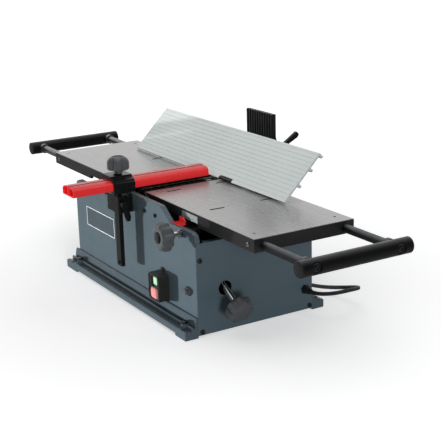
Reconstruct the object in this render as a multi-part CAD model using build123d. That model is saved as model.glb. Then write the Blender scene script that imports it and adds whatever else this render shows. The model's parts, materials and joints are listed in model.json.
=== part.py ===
"""Bench-top surface planer: one STEP file per physical piece.

Units mm. Origin on the bench, at the centre of the four bench-bolt holes.
+X runs to the infeed end, -Y to the operator, +Z up.
"""
import math
import os

from build123d import *

# ---------------------------------------------------------------- dimensions
TABLE_END = 420.0          # half length of the two tables
TABLE_TOP = 227.5
TABLE_HALF_W = 106.0
PLATE_T = 7.0
APRON_T = 6.0
APRON_MID_Z = 209.5        # apron underside near the cutterhead
APRON_END_Z = 202.7        # apron underside at the outer ends
APRON_STEP_X = 230.0
LIP_X = 30.0               # half of the throat between the tables
SLOT_L = 32.0
SLOT_W = 6.0
SLOT_Y = 56.0

BODY_X = 261.0             # half length of the cabinet
BODY_Y = 129.0             # half width of the cabinet
SHEET = 2.0
FLANGE = 10.0
PANEL_Z0 = 39.0
EAR_Z = 200.0
HUMP_Z = 225.0
END_TOP_Z = 182.0

RAIL_Y = 157.0             # outer edge of the foot rails
RAIL_LEFT_X = -272.0
BENCH_X = 245.0
BENCH_Y = 151.8
BENCH_R = 3.5

CUT_Z = 197.0              # cutterhead axis height, at x = 0
DRUM_R = 29.0
KNIFE_R = 30.5
KNIFE_HALF_L = 101.5
JOURNAL_R = 7.5
CHEEK_IN = 106.5
CHEEK_OUT = 115.5
PULLEY_Y = (116.5, 126.0)
CUT_PULLEY_R = 17.0
MOTOR_PULLEY_R = 11.0
MOTOR_X = -105.0
MOTOR_Z = 110.0

INCLINE = 30.0             # slope of the infeed ways, degrees
SCREW_Y = -69.0
SCREW_Z = 86.9             # height where the depth screw leaves the end panel
SCREW_R = 6.0

LOCK_X = 208.0
LOCK_Z = 190.0

POST = (-12.0, 7.0, -157.0, -148.5)
POST_Z0 = 75.0
CLAMP_Z0 = 229.0
BAR_X = (-40.0, 12.0)
BAR_Y = (-253.0, 49.0)
BAR_Z0 = 233.5
BAR_H = 20.0
CLAMP_Y = (-168.0, -122.0)
KNOB_X = -14.0
KNOB_Y = -145.0

HINGE_Y = 64.6             # fence tilt axis
HINGE_Z = 231.3
FENCE_TILT = 45.0
FENCE_X = (-331.0, 269.0)
FENCE_FACE_Y = HINGE_Y - 4.0
FENCE_FOOT_Z = HINGE_Z - 3.2
SECTOR_R = 105.0
LOCK_ANGLE = 31.8

TUBE_R = 14.4
TUBE_BORE = 11.4
TUBE_HALF_L = 113.75
TUBE_Z = 213.5
ROD_R = 8.0
ROD_Y = 86.5
ROD_IN_X = 190.0
INFEED_TUBE_X = 559.0
OUTFEED_TUBE_X = -552.0

CORD_R = 4.0
GLAND_Y = 112.0
GLAND_Z = 46.5

CORD_ROUTE = [
    (281.0, 112.0, 46.5),
    (295.2, 112.0, 47.6),
    (309.0, 116.3, 49.4),
    (320.8, 124.7, 51.4),
    (329.3, 136.4, 53.2),
    (334.1, 150.4, 54.6),
    (334.9, 168.0, 54.8),
    (329.0, 186.6, 51.8),
    (315.6, 202.2, 46.4),
    (295.0, 211.6, 39.2),
    (269.0, 213.5, 31.0),
    (238.6, 210.0, 22.4),
    (205.0, 204.0, 14.5),
    (168.0, 198.5, 8.4),
    (128.0, 194.5, 5.2),
    (82.0, 191.5, 4.6),
    (28.0, 189.5, 4.6),
    (-26.0, 190.0, 4.6),
]
COIL_R = 44.0
LEAD_IN = 60.0

LOW = (Align.CENTER, Align.CENTER, Align.MIN)


# ------------------------------------------------------------------- helpers
def block(x0, x1, y0, y1, z0, z1):
    """Box between two corners."""
    centre = Pos((x0 + x1) / 2, (y0 + y1) / 2, (z0 + z1) / 2)
    return centre * Box(x1 - x0, y1 - y0, z1 - z0)


def rod(plane, r, a, b):
    """Cylinder along the plane's normal from a to b."""
    return plane * Pos(0, 0, a) * Cylinder(r, b - a, align=LOW)


def along_x(y, z):
    return Plane(origin=(0, y, z), x_dir=(0, 1, 0), z_dir=(1, 0, 0))


def along_y(x, z):
    return Plane(origin=(x, 0, z), x_dir=(1, 0, 0), z_dir=(0, 1, 0))


def along_z(x, y):
    return Plane(origin=(x, y, 0), x_dir=(1, 0, 0), z_dir=(0, 0, 1))


def prism_xz(points, y0, y1):
    """Polygon in X,Z pulled along Y."""
    plane = Plane(origin=(0, y1, 0), x_dir=(1, 0, 0), z_dir=(0, -1, 0))
    return extrude(plane * make_face(Polyline(points, close=True)), amount=y1 - y0)


def prism_yz(points, x0, x1):
    """Polygon in Y,Z pulled along X."""
    plane = Plane(origin=(x0, 0, 0), x_dir=(0, 1, 0), z_dir=(1, 0, 0))
    return extrude(plane * make_face(Polyline(points, close=True)), amount=x1 - x0)


def mirrored_y(shape):
    return mirror(shape, about=Plane.XZ)


def mirrored_x(shape):
    return mirror(shape, about=Plane.YZ)


def group(shapes):
    return Compound(children=list(shapes))


def star(plane, r, a, b, lobes):
    """Lobed hand knob between a and b along the plane's normal."""
    sketch = Circle(r * 0.74)
    for i in range(lobes):
        turn = math.radians(360.0 * i / lobes + 90.0)
        sketch += Pos(r * 0.72 * math.cos(turn), r * 0.72 * math.sin(turn)) * Circle(r * 0.28)
    return plane * Pos(0, 0, a) * extrude(sketch, amount=b - a)


def screw_axis():
    """Plane whose normal is the depth screw, pointing out of the end panel."""
    slope = math.radians(INCLINE)
    return Plane(
        origin=(BODY_X, SCREW_Y, SCREW_Z),
        x_dir=(0, 1, 0),
        z_dir=(math.cos(slope), 0, -math.sin(slope)),
    )


def tilt(shape):
    """Lay a fence piece back about the tilt axis."""
    axis = Axis((0, HINGE_Y, HINGE_Z), (1, 0, 0))
    return shape.rotate(axis, -FENCE_TILT)


# -------------------------------------------------------------------- screws
def screw_x(x, y, z, out, r=5.0):
    """Cap screw in an end panel; out is +1 or -1."""
    axis = along_x(y, z)
    a = x if out > 0 else x - 2.5
    shank = (x - 8.0, x) if out > 0 else (x, x + 8.0)
    head = rod(axis, r, a, a + 2.5)
    recess = (a + 1.2, a + 3.5) if out > 0 else (a - 1.0, a + 1.3)
    return head + rod(axis, 2.5, *shank) - rod(axis, 2.0, *recess)


def screw_y(x, z, y, out, r=4.2):
    """Cap screw in a front or rear panel; out is -1 at the front."""
    axis = along_y(x, z)
    a = y if out > 0 else y - 2.2
    shank = (y - 7.0, y) if out > 0 else (y, y + 7.0)
    head = rod(axis, r, a, a + 2.2)
    recess = (a + 1.0, a + 3.2) if out > 0 else (a - 1.0, a + 1.2)
    return head + rod(axis, 2.2, *shank) - rod(axis, 1.8, *recess)


def rail_bolt(x, y):
    axis = along_z(x, y)
    return rod(axis, 5.5, 24.0, 29.0) + rod(axis, 3.0, 12.0, 24.0) - rod(axis, 2.5, 26.0, 30.0)


def case_screw_list():
    screws = []
    for x in (65, 108, -70, -108):
        screws.append(screw_y(x, 201, -BODY_Y, -1))
    for x in (108, -70, -108):
        screws.append(screw_y(x, 201, BODY_Y, 1))
    for side in (1, -1):
        for y, z in ((-122, 149.5), (-120.5, 10.2), (122.8, 10.8), (122, 149.5)):
            screws.append(screw_x(side * BODY_X, y, z, side))
        for y in (-141, 141):
            screws.append(rail_bolt(side * 232, y))
    return screws


# ------------------------------------------------------------------- cabinet
def top_profile(inset):
    """Outline of the front and rear panels, shrunk by the given amount."""
    x = BODY_X - SHEET - inset
    z0 = PANEL_Z0 + inset
    ear = EAR_Z - inset
    hump = HUMP_Z - inset
    foot = 168.0 - inset * 0.3
    shoulder = 131.0 - inset * 0.3
    r = 13.0
    points = [(-x, z0), (-x, ear - r), (-x + 4, ear - 4), (-x + r, ear), (-foot, ear), (-shoulder, hump)]
    return points + [(-px, pz) for px, pz in reversed(points)]


def pressed_panel():
    """Front panel blank with its rolled edge."""
    outer = prism_xz(top_profile(0.0), -BODY_Y, -BODY_Y + FLANGE)
    inner = prism_xz(top_profile(SHEET), -BODY_Y + SHEET, -BODY_Y + FLANGE + 1)
    return outer - inner


def front_panel(screws):
    panel = pressed_panel()
    panel -= block(111, 151, -140, -120, 42, 92)
    panel -= rod(along_y(227, 83), 8.0, -140, -120)
    panel -= rod(along_y(LOCK_X, LOCK_Z), 6.5, -140, -120)
    return panel - screws


def rear_panel(screws):
    panel = mirrored_y(pressed_panel())
    panel -= rod(along_y(10, 95), 31.5, 120, 140)
    panel -= rod(along_x(GLAND_Y, GLAND_Z), 7.5, 250, 259)
    for x in (-150, -120, -90, -60):
        panel -= block(x - 8, x + 8, 120, 140, 60, 64)
        panel -= block(x - 8, x + 8, 120, 140, 72, 76)
        panel -= block(x - 8, x + 8, 120, 140, 84, 88)
    return panel - screws


def end_panel(screws):
    panel = block(BODY_X - SHEET, BODY_X, -BODY_Y, BODY_Y, 4, END_TOP_Z)
    panel += block(BODY_X - 12, BODY_X, -110, 110, END_TOP_Z - SHEET, END_TOP_Z)
    panel += block(BODY_X - 12, BODY_X, -110, 110, 4, 4 + SHEET)
    return panel - screws


def right_end_panel(screws):
    panel = end_panel(screws)
    panel -= rod(along_x(SCREW_Y, SCREW_Z), 14.0, 240, 280)
    panel -= rod(along_x(GLAND_Y, GLAND_Z), 5.8, 240, 280)
    return panel


def left_end_panel(screws):
    panel = mirrored_x(end_panel([]))
    for z in (60, 75, 90, 105, 120):
        panel -= block(-280, -240, -60, 60, z, z + 4)
    return panel - screws


def rail(screws):
    """Front foot rail."""
    y = -BODY_Y
    toe = [
        (y, 0), (-RAIL_Y, 0), (-RAIL_Y, 15), (-155, 17), (-148, 17), (-147, 14.5), (-144, 14.5),
        (-143, 22), (-141, 23.5), (-139, 22), (-138, 19.5), (-136, 19.5), (-133, 37), (-131, 39), (y, 39),
    ]
    body = prism_yz(toe, RAIL_LEFT_X, BODY_X)
    shelf = block(-BODY_X + SHEET, BODY_X - SHEET, y, -111, 5, PANEL_Z0)
    body += shelf
    for x in (-232, 232):
        body += rod(along_z(x, -141), 8.0, 0, 24)
    for x in (-122, 122):
        body -= block(x - 98, x + 98, -151, -116, -1, 12)
    body -= block(-222, 222, -160, -100, -1, 5)
    for x in (-BENCH_X, BENCH_X):
        body -= rod(along_z(x, -BENCH_Y), BENCH_R, -1, 30)
    return body - screws


def base_tray():
    tray = block(-BODY_X + SHEET, BODY_X - SHEET, -111, 111, 37, PANEL_Z0)
    for side in (-1, 1):
        y0, y1 = sorted((side * 109, side * 111))
        tray += block(-BODY_X + SHEET, BODY_X - SHEET, y0, y1, 27, 37)
    for x in (-150, 0, 150):
        tray += block(x - 4, x + 4, -109, 109, 31, 37)
    return tray


# ---------------------------------------------------------------- main frame
def way_z(x):
    """Height of the inclined ways."""
    return 184.0 - (x - 52.0) * math.tan(math.radians(INCLINE))


def cheek():
    """Front cheek of the frame, without bores."""
    outline = [(-185, 39), (-185, 190), (170, 190), (190, 196), (225, 196), (225, 150), (190, 104), (190, 39)]
    plate = prism_xz(outline, -CHEEK_OUT, -CHEEK_IN)
    plate += rod(along_y(0, CUT_Z), 22.0, -CHEEK_OUT, -CHEEK_IN)
    plate -= block(95, 168, -130, -100, 42, 108)
    plate -= block(-160, -50, -130, -100, 50, 140)
    plate -= block(-30, 60, -130, -100, 60, 150)
    return plate


def rear_cheek():
    outline = [(-185, 39), (-185, 190), (190, 190), (190, 39)]
    plate = prism_xz(outline, CHEEK_IN, CHEEK_OUT)
    plate += rod(along_y(0, CUT_Z), 22.0, CHEEK_IN, CHEEK_OUT)
    plate -= rod(along_y(MOTOR_X, MOTOR_Z), 18.0, 100, 130)
    plate -= rod(along_y(10, 95), 31.5, 100, 130)
    plate -= block(75, 165, 100, 130, 55, 110)
    return plate


def main_frame():
    frame = cheek() + rear_cheek()
    for x0, x1 in ((-175, -163), (-52, -40)):
        frame += block(x0, x1, -CHEEK_IN, CHEEK_IN, 160, 190)
        frame += block(x0, x1, -100, 100, 190, APRON_MID_Z)
    frame += block(178, 190, -CHEEK_IN, CHEEK_IN, 39, 100)
    frame += block(-185, -175, -CHEEK_IN, CHEEK_IN, 39, 60)
    way = [(52, way_z(52)), (186, way_z(186)), (186, 90), (52, 150)]
    for y0, y1 in ((-CHEEK_IN, -90), (90, CHEEK_IN)):
        frame += prism_xz(way, y0, y1)
    axis = screw_axis()
    frame += block(179, 191, SCREW_Y - 7, SCREW_Y + 7, 95, 125)
    frame += rod(axis, 14.0, -90, -76)
    frame -= rod(axis, SCREW_R + 0.05, -110, -60)
    frame -= rod(along_y(0, CUT_Z), 16.0, -130, 130)
    frame -= rod(along_y(LOCK_X, LOCK_Z), 5.0, -130, -100)
    return frame


# -------------------------------------------------------------------- tables
def table():
    """Infeed side table with aprons, ribs, slots and rod guides."""
    top = block(LIP_X, TABLE_END, -TABLE_HALF_W, TABLE_HALF_W, TABLE_TOP - PLATE_T, TABLE_TOP)
    under = TABLE_TOP - PLATE_T
    for side in (-1, 1):
        y0, y1 = sorted((side * (TABLE_HALF_W - APRON_T), side * TABLE_HALF_W))
        top += block(LIP_X + 10, TABLE_END, y0, y1, APRON_MID_Z, under)
        top += block(APRON_STEP_X, TABLE_END, y0, y1, APRON_END_Z, APRON_MID_Z)
        y0, y1 = sorted((side * 37, side * 43))
        top += block(LIP_X + 10, TABLE_END - 8, y0, y1, APRON_MID_Z, under)
        y0, y1 = sorted((side * 72, side * (TABLE_HALF_W - APRON_T)))
        top += block(TABLE_END - 38, TABLE_END, y0, y1, APRON_END_Z, under)
    top += block(TABLE_END - 8, TABLE_END, -TABLE_HALF_W, TABLE_HALF_W, APRON_END_Z, under)
    for side in (-1, 1):
        top -= rod(along_x(side * ROD_Y, TUBE_Z), ROD_R + 0.05, ROD_IN_X, 430)
        a, b = sorted((side * 90, side * 110))
        top -= rod(along_y(400, TUBE_Z), 4.0, a, b)
    for x in (53, 218):
        for side in (-1, 1):
            slot = Pos(x, side * SLOT_Y, TABLE_TOP - PLATE_T - 1) * extrude(
                Rot(0, 0, 90) * SlotOverall(SLOT_L, SLOT_W), amount=PLATE_T + 2)
            top -= slot
    for side in (-1, 1):
        top -= rod(along_z(390, side * 86), 2.5, APRON_END_Z + 4, TABLE_TOP + 1)
    top_edges = top.edges().filter_by_position(Axis.Z, TABLE_TOP - 0.01, TABLE_TOP + 0.01)
    rim = [e for e in top_edges if e.center().X > TABLE_END - 1
           or abs(e.center().Y) > TABLE_HALF_W - 1]
    return chamfer(rim, 0.8)


def support_clamp_screws(x):
    """Set screws that grip the support rods."""
    screws = []
    for side in (-1, 1):
        a, b = sorted((side * (ROD_Y + ROD_R + 0.3), side * (TABLE_HALF_W + 1.5)))
        pin = rod(along_y(x, TUBE_Z), 4.0, a, b)
        c, d = sorted((side * (TABLE_HALF_W - 1.5), side * (TABLE_HALF_W + 3)))
        screws.append(pin - rod(along_y(x, TUBE_Z), 2.0, c, d))
    return group(screws)


def infeed_carriage():
    plate = block(56, 176, -104, 104, 201.5, APRON_MID_Z)
    drop = 0.35
    web = [(56, 201.5), (56, way_z(56) + drop), (176, way_z(176) + drop), (176, 201.5)]
    for y0, y1 in ((-104, -90), (90, 104)):
        plate += prism_xz(web, y0, y1)
    plate += block(146, 166, SCREW_Y - 10, SCREW_Y + 10, 134, 201.5)
    plate += block(176, 222, -104, -96, 170, 200)
    plate -= rod(screw_axis(), SCREW_R + 0.05, -180, -60)
    for x0, x1 in ((70, 110), (122, 140)):
        plate -= block(x0, x1, -84, 84, 200, 210)
    return plate


# ---------------------------------------------------------------- depth feed
def depth_screw():
    axis = screw_axis()
    shaft = rod(axis, SCREW_R, -152, 62)
    shaft += rod(axis, 9.0, -94, -90.4)
    shaft += rod(axis, 9.0, -75.6, -72)
    return shaft


def depth_knob():
    axis = screw_axis()
    knob = star(axis, 28.0, 46, 68, 7)
    knob += rod(axis, 11.0, 36, 46)
    knob += rod(axis, 12.0, 68, 70)
    return knob - rod(axis, SCREW_R, 30, 62)


def lock_screw():
    axis = along_y(LOCK_X, LOCK_Z)
    nut = axis * Pos(0, 0, -138) * extrude(RegularPolygon(8.5, 6), amount=5)
    return rod(axis, 4.95, -165, -104.4) + nut


def lock_knob():
    axis = along_y(LOCK_X, LOCK_Z)
    knob = star(axis, 28.0, -178, -155, 8)
    knob += rod(axis, 10.0, -155, -147)
    return knob - rod(axis, 4.95, -165, -140)


# --------------------------------------------------------------- cutterhead
def knife_slot(turn, grow):
    """Slot for one knife and its gib, in the drum."""
    slot = block(-6.0 - grow, 2.0 + grow, -KNIFE_HALF_L - 1, KNIFE_HALF_L + 1, 14.0, 40.0)
    return Pos(0, 0, CUT_Z) * Rot(0, turn, 0) * slot


def cutterhead_drum():
    axis = along_y(0, CUT_Z)
    drum = rod(axis, DRUM_R, -KNIFE_HALF_L, KNIFE_HALF_L)
    drum += rod(axis, 11.0, -106.2, 106.2)
    drum += rod(axis, JOURNAL_R, -114.5, 126.3)
    for turn in (20, 200):
        drum -= knife_slot(turn, 0.0)
    return drum


def cutterhead_knives():
    knives = []
    for turn in (20, 200):
        blade = prism_xz([(-1, 14), (2, 14), (2, KNIFE_R - 0.2), (1.0, KNIFE_R - 0.2), (-1, KNIFE_R - 3)],
                         -KNIFE_HALF_L, KNIFE_HALF_L)
        knives.append(Pos(0, 0, CUT_Z) * Rot(0, turn, 0) * blade)
    return group(knives)


def knife_gibs():
    gibs = []
    for turn in (20, 200):
        gib = block(-6, -1, -KNIFE_HALF_L, KNIFE_HALF_L, 14, 27)
        for y in (-80, -40, 0, 40, 80):
            gib -= block(-6.5, -4.0, y - 3, y + 3, 17, 23)
        gibs.append(Pos(0, 0, CUT_Z) * Rot(0, turn, 0) * gib)
    return group(gibs)


def cutterhead_bearings():
    rings = []
    for y0 in (-CHEEK_OUT, CHEEK_IN):
        axis = along_y(0, CUT_Z)
        rings.append(rod(axis, 16.0, y0, y0 + 9) - rod(axis, JOURNAL_R + 0.05, y0 - 1, y0 + 10))
    return group(rings)


def pulley(x, z, r, bore):
    axis = along_y(x, z)
    wheel = rod(axis, r, *PULLEY_Y) - rod(axis, bore, 110, 130)
    for y in (118.0, 120.0, 122.0, 124.0):
        wheel -= rod(axis, r + 1, y, y + 1.0) - rod(axis, r - 1.0, y - 1, y + 2)
    return wheel


# --------------------------------------------------------------------- motor
def belt_loop(grow):
    """Filled outline of the belt path at a given distance from the pulleys."""
    r1 = CUT_PULLEY_R + grow
    r2 = MOTOR_PULLEY_R + grow
    dx = MOTOR_X
    dz = MOTOR_Z - CUT_Z
    gap = math.hypot(dx, dz)
    lean = math.atan2(dz, dx)
    spread = math.acos((r1 - r2) / gap)
    corners = []
    for cx, cz, r, sign in ((0, CUT_Z, r1, 1), (MOTOR_X, MOTOR_Z, r2, 1),
                            (MOTOR_X, MOTOR_Z, r2, -1), (0, CUT_Z, r1, -1)):
        turn = lean + sign * spread
        corners.append((cx + r * math.cos(turn), cz + r * math.sin(turn)))
    loop = prism_xz(corners, 117.0, 125.6)
    loop += rod(along_y(0, CUT_Z), r1, 117.0, 125.6)
    loop += rod(along_y(MOTOR_X, MOTOR_Z), r2, 117.0, 125.6)
    return loop


def drive_belt():
    return belt_loop(2.6) - belt_loop(0.3)


def motor_housing():
    axis = along_y(MOTOR_X, MOTOR_Z)
    shell = rod(axis, 42.0, -75, 101) - rod(axis, 38.0, -70, 96)
    shell += rod(axis, 47.0, 98, CHEEK_IN) - rod(axis, 37.0, 90, 98)
    shell -= rod(axis, 8.05, -60, 130)
    shell -= rod(axis, 8.05, -74, -60)
    for side in (-1, 1):
        shell += rod(along_x(-55, MOTOR_Z), 8.0, MOTOR_X + side * 42.5 - 3.5, MOTOR_X + side * 42.5 + 3.5) \
            - rod(axis, 38.0, -70, 96)
        shell -= rod(along_x(-55, MOTOR_Z), 5.0, MOTOR_X + side * 42 - 12, MOTOR_X + side * 42 + 12)
    for i in range(8):
        turn = math.radians(45 * i + 22.5)
        x = MOTOR_X + 25 * math.cos(turn)
        z = MOTOR_Z + 25 * math.sin(turn)
        shell -= rod(along_y(x, z), 5.0, -80, -69)
    return shell


def motor_stator():
    axis = along_y(MOTOR_X, MOTOR_Z)
    return rod(axis, 38.0, -32, 52) - rod(axis, 28.0, -40, 60)


def brush_caps():
    caps = []
    for side in (-1, 1):
        x = MOTOR_X + side * 46
        caps.append(rod(along_x(-55, MOTOR_Z), 8.5, *sorted((x, x + side * 3)))
                    + rod(along_x(-55, MOTOR_Z), 5.0, *sorted((x - side * 7, x))))
    return group(caps)


def motor_rotor():
    axis = along_y(MOTOR_X, MOTOR_Z)
    shaft = rod(axis, 8.0, -73.5, 116.0)
    shaft += rod(axis, 6.0, 116.0, 126.3)
    shaft += rod(axis, 27.2, -32, 52)
    shaft += rod(axis, 15.0, -66, -44)
    fan = rod(axis, 12.0, 66, 78)
    for i in range(8):
        blade = Pos(MOTOR_X, 72, MOTOR_Z) * Rot(0, 45 * i, 0) * Pos(22, 0, 0) * Box(22, 11, 2)
        fan += blade
    return shaft + fan


# --------------------------------------------------------------- dust chute
def dust_chute():
    outer = [(-98, 160), (98, 160), (98, 62), (56, 62), (-98, 148)]
    inner = [(-96, 161), (96, 161), (96, 64), (57, 64), (-96, 149.5)]
    hopper = prism_yz(outer, -36, 48) - prism_yz(inner, -34, 46)
    axis = along_y(10, 95)
    hopper += rod(axis, 31.5, 96, 160)
    return hopper - rod(axis, 29.0, 90, 170)


# --------------------------------------------------------------- electrical
def switch_housing():
    shell = block(109, 153, -151, -BODY_Y, 39.5, 94)
    edges = shell.edges().filter_by(Axis.Y) + shell.edges().group_by(Axis.Y)[0]
    shell = fillet(edges, 5.0)
    shell += block(111.3, 150.7, -BODY_Y, -104, 42.3, 91.7)
    shell += block(123, 139, -131, -BODY_Y, 93, 103)
    shell += rod(along_y(131, 98.5), 3.2, -133, -131) - rod(along_y(131, 98.5), 1.4, -134, -132)
    shell -= block(118.7, 143.3, -155, -134, 68.7, 88.3)
    shell -= block(117.7, 144.3, -155, -134, 43.2, 66.3)
    shell -= block(121, 141, -134, -112, 70.5, 86.5)
    shell -= block(121, 141, -134, -112, 46, 64)
    return shell


def start_button():
    cap = block(119, 143, -147, -137.5, 69, 88)
    cap = fillet(cap.edges().filter_by(Axis.Y), 3.0)
    return cap + block(128, 134, -137.5, -116, 75.5, 81.5)


def stop_button():
    cap = block(118, 144, -152.5, -137.5, 43.5, 66)
    edges = cap.edges().filter_by(Axis.Y) + cap.edges().group_by(Axis.Y)[0]
    cap = fillet(edges, 4.0)
    return cap + block(128, 134, -137.5, -116, 51.5, 57.5)


def reset_breaker():
    axis = along_y(227, 83)
    ring = axis * Pos(0, 0, -133) * extrude(RegularPolygon(9.5, 6), amount=4)
    ring += rod(axis, 8.0, -BODY_Y, -100)
    ring -= rod(axis, 5.8, -140, -112)
    return ring


def reset_button():
    axis = along_y(227, 83)
    return rod(axis, 5.4, -137.5, -116)


def cord_gland():
    axis = along_x(GLAND_Y, GLAND_Z)
    nut = axis * Pos(0, 0, BODY_X) * extrude(RegularPolygon(9.5, 6), amount=6)
    nut += rod(axis, 5.8, 253, BODY_X)
    nut += axis * Pos(0, 0, 267) * Cone(8.0, 5.2, 14, align=LOW)
    return nut - rod(axis, CORD_R, 245, 295)


def cord_path():
    """Route line with tangent arcs."""
    points = [Vector(*p) for p in CORD_ROUTE]
    radii = []
    for a, b, c in zip(points, points[1:], points[2:]):
        turn = (b - a).get_angle(c - b)
        short = min((b - a).length, (c - b).length)
        radii.append(0.45 * short / math.tan(math.radians(turn / 2)))
    print("cord radii", [round(r, 1) for r in radii])
    line = FilletPolyline(*[tuple(p) for p in points], radius=radii)
    print("cord length", round(line.length, 1))
    return line


def mains_cord():
    line = cord_path()
    start = Plane(origin=line @ 0, z_dir=line % 0)
    tube = sweep(start * Circle(CORD_R), path=line)
    inside = rod(along_x(GLAND_Y, GLAND_Z), CORD_R, 248, CORD_ROUTE[0][0])
    return tube + inside


def coil_start():
    """Point and heading where the cord meets the coil."""
    end = Vector(*CORD_ROUTE[-1])
    before = Vector(*CORD_ROUTE[-2])
    heading = Vector(end.X - before.X, end.Y - before.Y, 0).normalized()
    return end, heading


def coil_centre():
    end, heading = coil_start()
    side = Vector(heading.Y, -heading.X, 0)
    return end + heading * LEAD_IN + side * COIL_R


def tail_point():
    """Where the plug's end of the cord leaves the coil."""
    centre = coil_centre()
    return Vector(centre.X - 30, centre.Y + COIL_R - 3, centre.Z)


def mains_cord_coil():
    """Closed ring standing for the wound length, with its lead-in and tail."""
    height = 4 * CORD_R + 0.4
    half = 3 * CORD_R
    ring = Cylinder(COIL_R + half, height, align=LOW) - Cylinder(COIL_R - half, height, align=LOW)
    centre = coil_centre()
    ring = Pos(centre.X, centre.Y, 0.3) * ring
    end, heading = coil_start()
    reach = end + heading * LEAD_IN
    lead = sweep(Plane(origin=end, z_dir=heading) * Circle(CORD_R), path=Line(end, reach))
    tail_a = tail_point()
    tail_b = tail_a + Vector(-60, 0, 0)
    tail = sweep(Plane(origin=tail_a, z_dir=(-1, 0, 0)) * Circle(CORD_R), path=Line(tail_a, tail_b))
    return ring + lead + tail


def mains_plug():
    tail = tail_point()
    x1 = tail.X - 60
    y = tail.Y
    grip = Plane(origin=(x1, y, tail.Z), x_dir=(0, 1, 0), z_dir=(-1, 0, 0)) * Cone(5.0, 9.0, 14, align=LOW)
    body = block(x1 - 42, x1 - 12, y - 15, y + 15, 0.6, 20.6)
    body = fillet(body.edges().filter_by(Axis.X), 5.0) + grip
    body &= block(x1 - 60, x1, y - 40, y + 40, 0.6, 60)
    for side in (-1, 1):
        body += rod(along_x(y + side * 9.5, 10.6), 2.4, x1 - 61, x1 - 42)
    return body


# --------------------------------------------------------------------- trim
def name_plate():
    return block(-210, -76, -BODY_Y - 0.4, -BODY_Y, 108, 150)


def depth_pointer():
    foot = block(168, 196, -126, -111.5, EAR_Z, EAR_Z + 2)
    tab = prism_xz([(174, 201), (194, 201), (198, 207), (190, 213), (174, 213)], -113, -111.5)
    return foot + tab


def depth_scale():
    return block(174.5, 231, -TABLE_HALF_W - 0.8, -TABLE_HALF_W, 210, 223)


# --------------------------------------------------------------------- guard
def guard_bracket():
    x0, x1, y0, y1 = POST
    body = block(-38, 14, -160, -BODY_Y, 188, 222)
    body = chamfer(body.edges().filter_by(Axis.Z).group_by(Axis.Y)[0], 2.0)
    body -= block(x0 - 0.3, x1 + 0.3, y0 - 0.3, y1 + 0.3, 180, 230)
    return body - rod(along_x(-150, 206), 4.05, 7, 20)


def guard_lever():
    hub = rod(along_x(-150, 206), 7.5, 14.3, 26)
    arm = prism_yz([(-156, 206), (-144, 206), (-138, 180), (-140, 172), (-146, 172), (-149, 180)], 17, 23)
    return hub + arm + rod(along_x(-150, 206), 4.0, 7.7, 14.3)


def guard_post():
    x0, x1, y0, y1 = POST
    bar = block(x0, x1, y0, y1, POST_Z0, CLAMP_Z0)
    bar = chamfer(bar.edges().group_by(Axis.Z)[0], 1.0)
    cx = (x0 + x1) / 2
    return bar + rod(along_y(cx, 83), 3.5, y0 - 2, y0)


def guard_section(grow):
    """Arched section of the guard bar, in X,Z."""
    x0, x1 = BAR_X[0] - grow, BAR_X[1] + grow
    z0 = BAR_Z0 - grow
    h = BAR_H + 2 * grow
    return [(x0, z0), (x0, z0 + 0.78 * h), (x0 + 12, z0 + 0.95 * h), (x0 + 26, z0 + h),
            (x1 - 14, z0 + 0.95 * h), (x1 - 4, z0 + 0.78 * h), (x1, z0 + 0.55 * h), (x1, z0)]


def guard_bar():
    bar = prism_xz(guard_section(0.0), *BAR_Y)
    hollow = prism_xz(guard_section(-2.2), BAR_Y[0] - 1, BAR_Y[1] + 1)
    wall = block(-16, -13.5, BAR_Y[0], BAR_Y[1], BAR_Z0 + 1, BAR_Z0 + BAR_H - 1)
    return bar - hollow + wall


def guard_clamp():
    shell = prism_xz(guard_section(4.3), *CLAMP_Y)
    shell += block(POST[0] - 3, POST[1] + 3, -160, -145, CLAMP_Z0, BAR_Z0 - 1)
    shell += block(-37, 3, *CLAMP_Y, 250, 261.5)
    shell += rod(along_z(KNOB_X, KNOB_Y), 9.0, 261.5, 263)
    shell -= prism_xz(guard_section(0.3), CLAMP_Y[0] - 1, CLAMP_Y[1] + 1)
    shell -= rod(along_z(KNOB_X, KNOB_Y), 5.05, 240, 270)
    return shell - block(-60, 30, -180, -110, 220, CLAMP_Z0)


def guard_knob():
    axis = along_z(KNOB_X, KNOB_Y)
    knob = star(axis, 22.5, 270, 294, 5)
    knob += rod(axis, 9.0, 263.3, 270)
    knob += rod(axis, 10.0, 294, 297)
    return knob + rod(axis, 5.0, BAR_Z0 + BAR_H + 0.5, 263.3)


# --------------------------------------------------------------------- fence
def fence_face():
    y, z = FENCE_FACE_Y, FENCE_FOOT_Z
    outline = [(0, 0), (4, 0), (4, 41), (12, 41), (12, 46), (4, 46), (4, 79), (12, 79), (12, 84),
               (4, 84), (4, 112), (12, 112), (12, 117), (0, 117)]
    face = prism_yz([(y + t, z + s) for t, s in outline], *FENCE_X)
    for i in range(12):
        s = 7.0 + 9.4 * i
        face -= block(FENCE_X[0] - 1, FENCE_X[1] + 1, y - 1, y + 0.6, z + s, z + s + 1.4)
    face -= block(31, 81, y - 1, y + 8, z - 1, z + 7.6)
    return tilt(face)


def fence_bracket():
    y, z = FENCE_FACE_Y, FENCE_FOOT_Z
    plate = block(32, 96, y + 12, y + 18, z + 28, z + 116)
    lug = [(4.3, 3), (7.3, 3), (18, 20), (18, 36), (12, 36), (12, 26), (4.3, 12)]
    for x0, x1 in ((32, 39.6), (72.4, 80)):
        plate += prism_yz([(y + t, z + s) for t, s in lug], x0, x1)
        plate += rod(along_x(HINGE_Y, HINGE_Z), 3.4, x0, x1)
    plate += rod(along_x(HINGE_Y, HINGE_Z), 1.75, 33, 79)
    body = tilt(plate)
    return body + sector()


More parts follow.
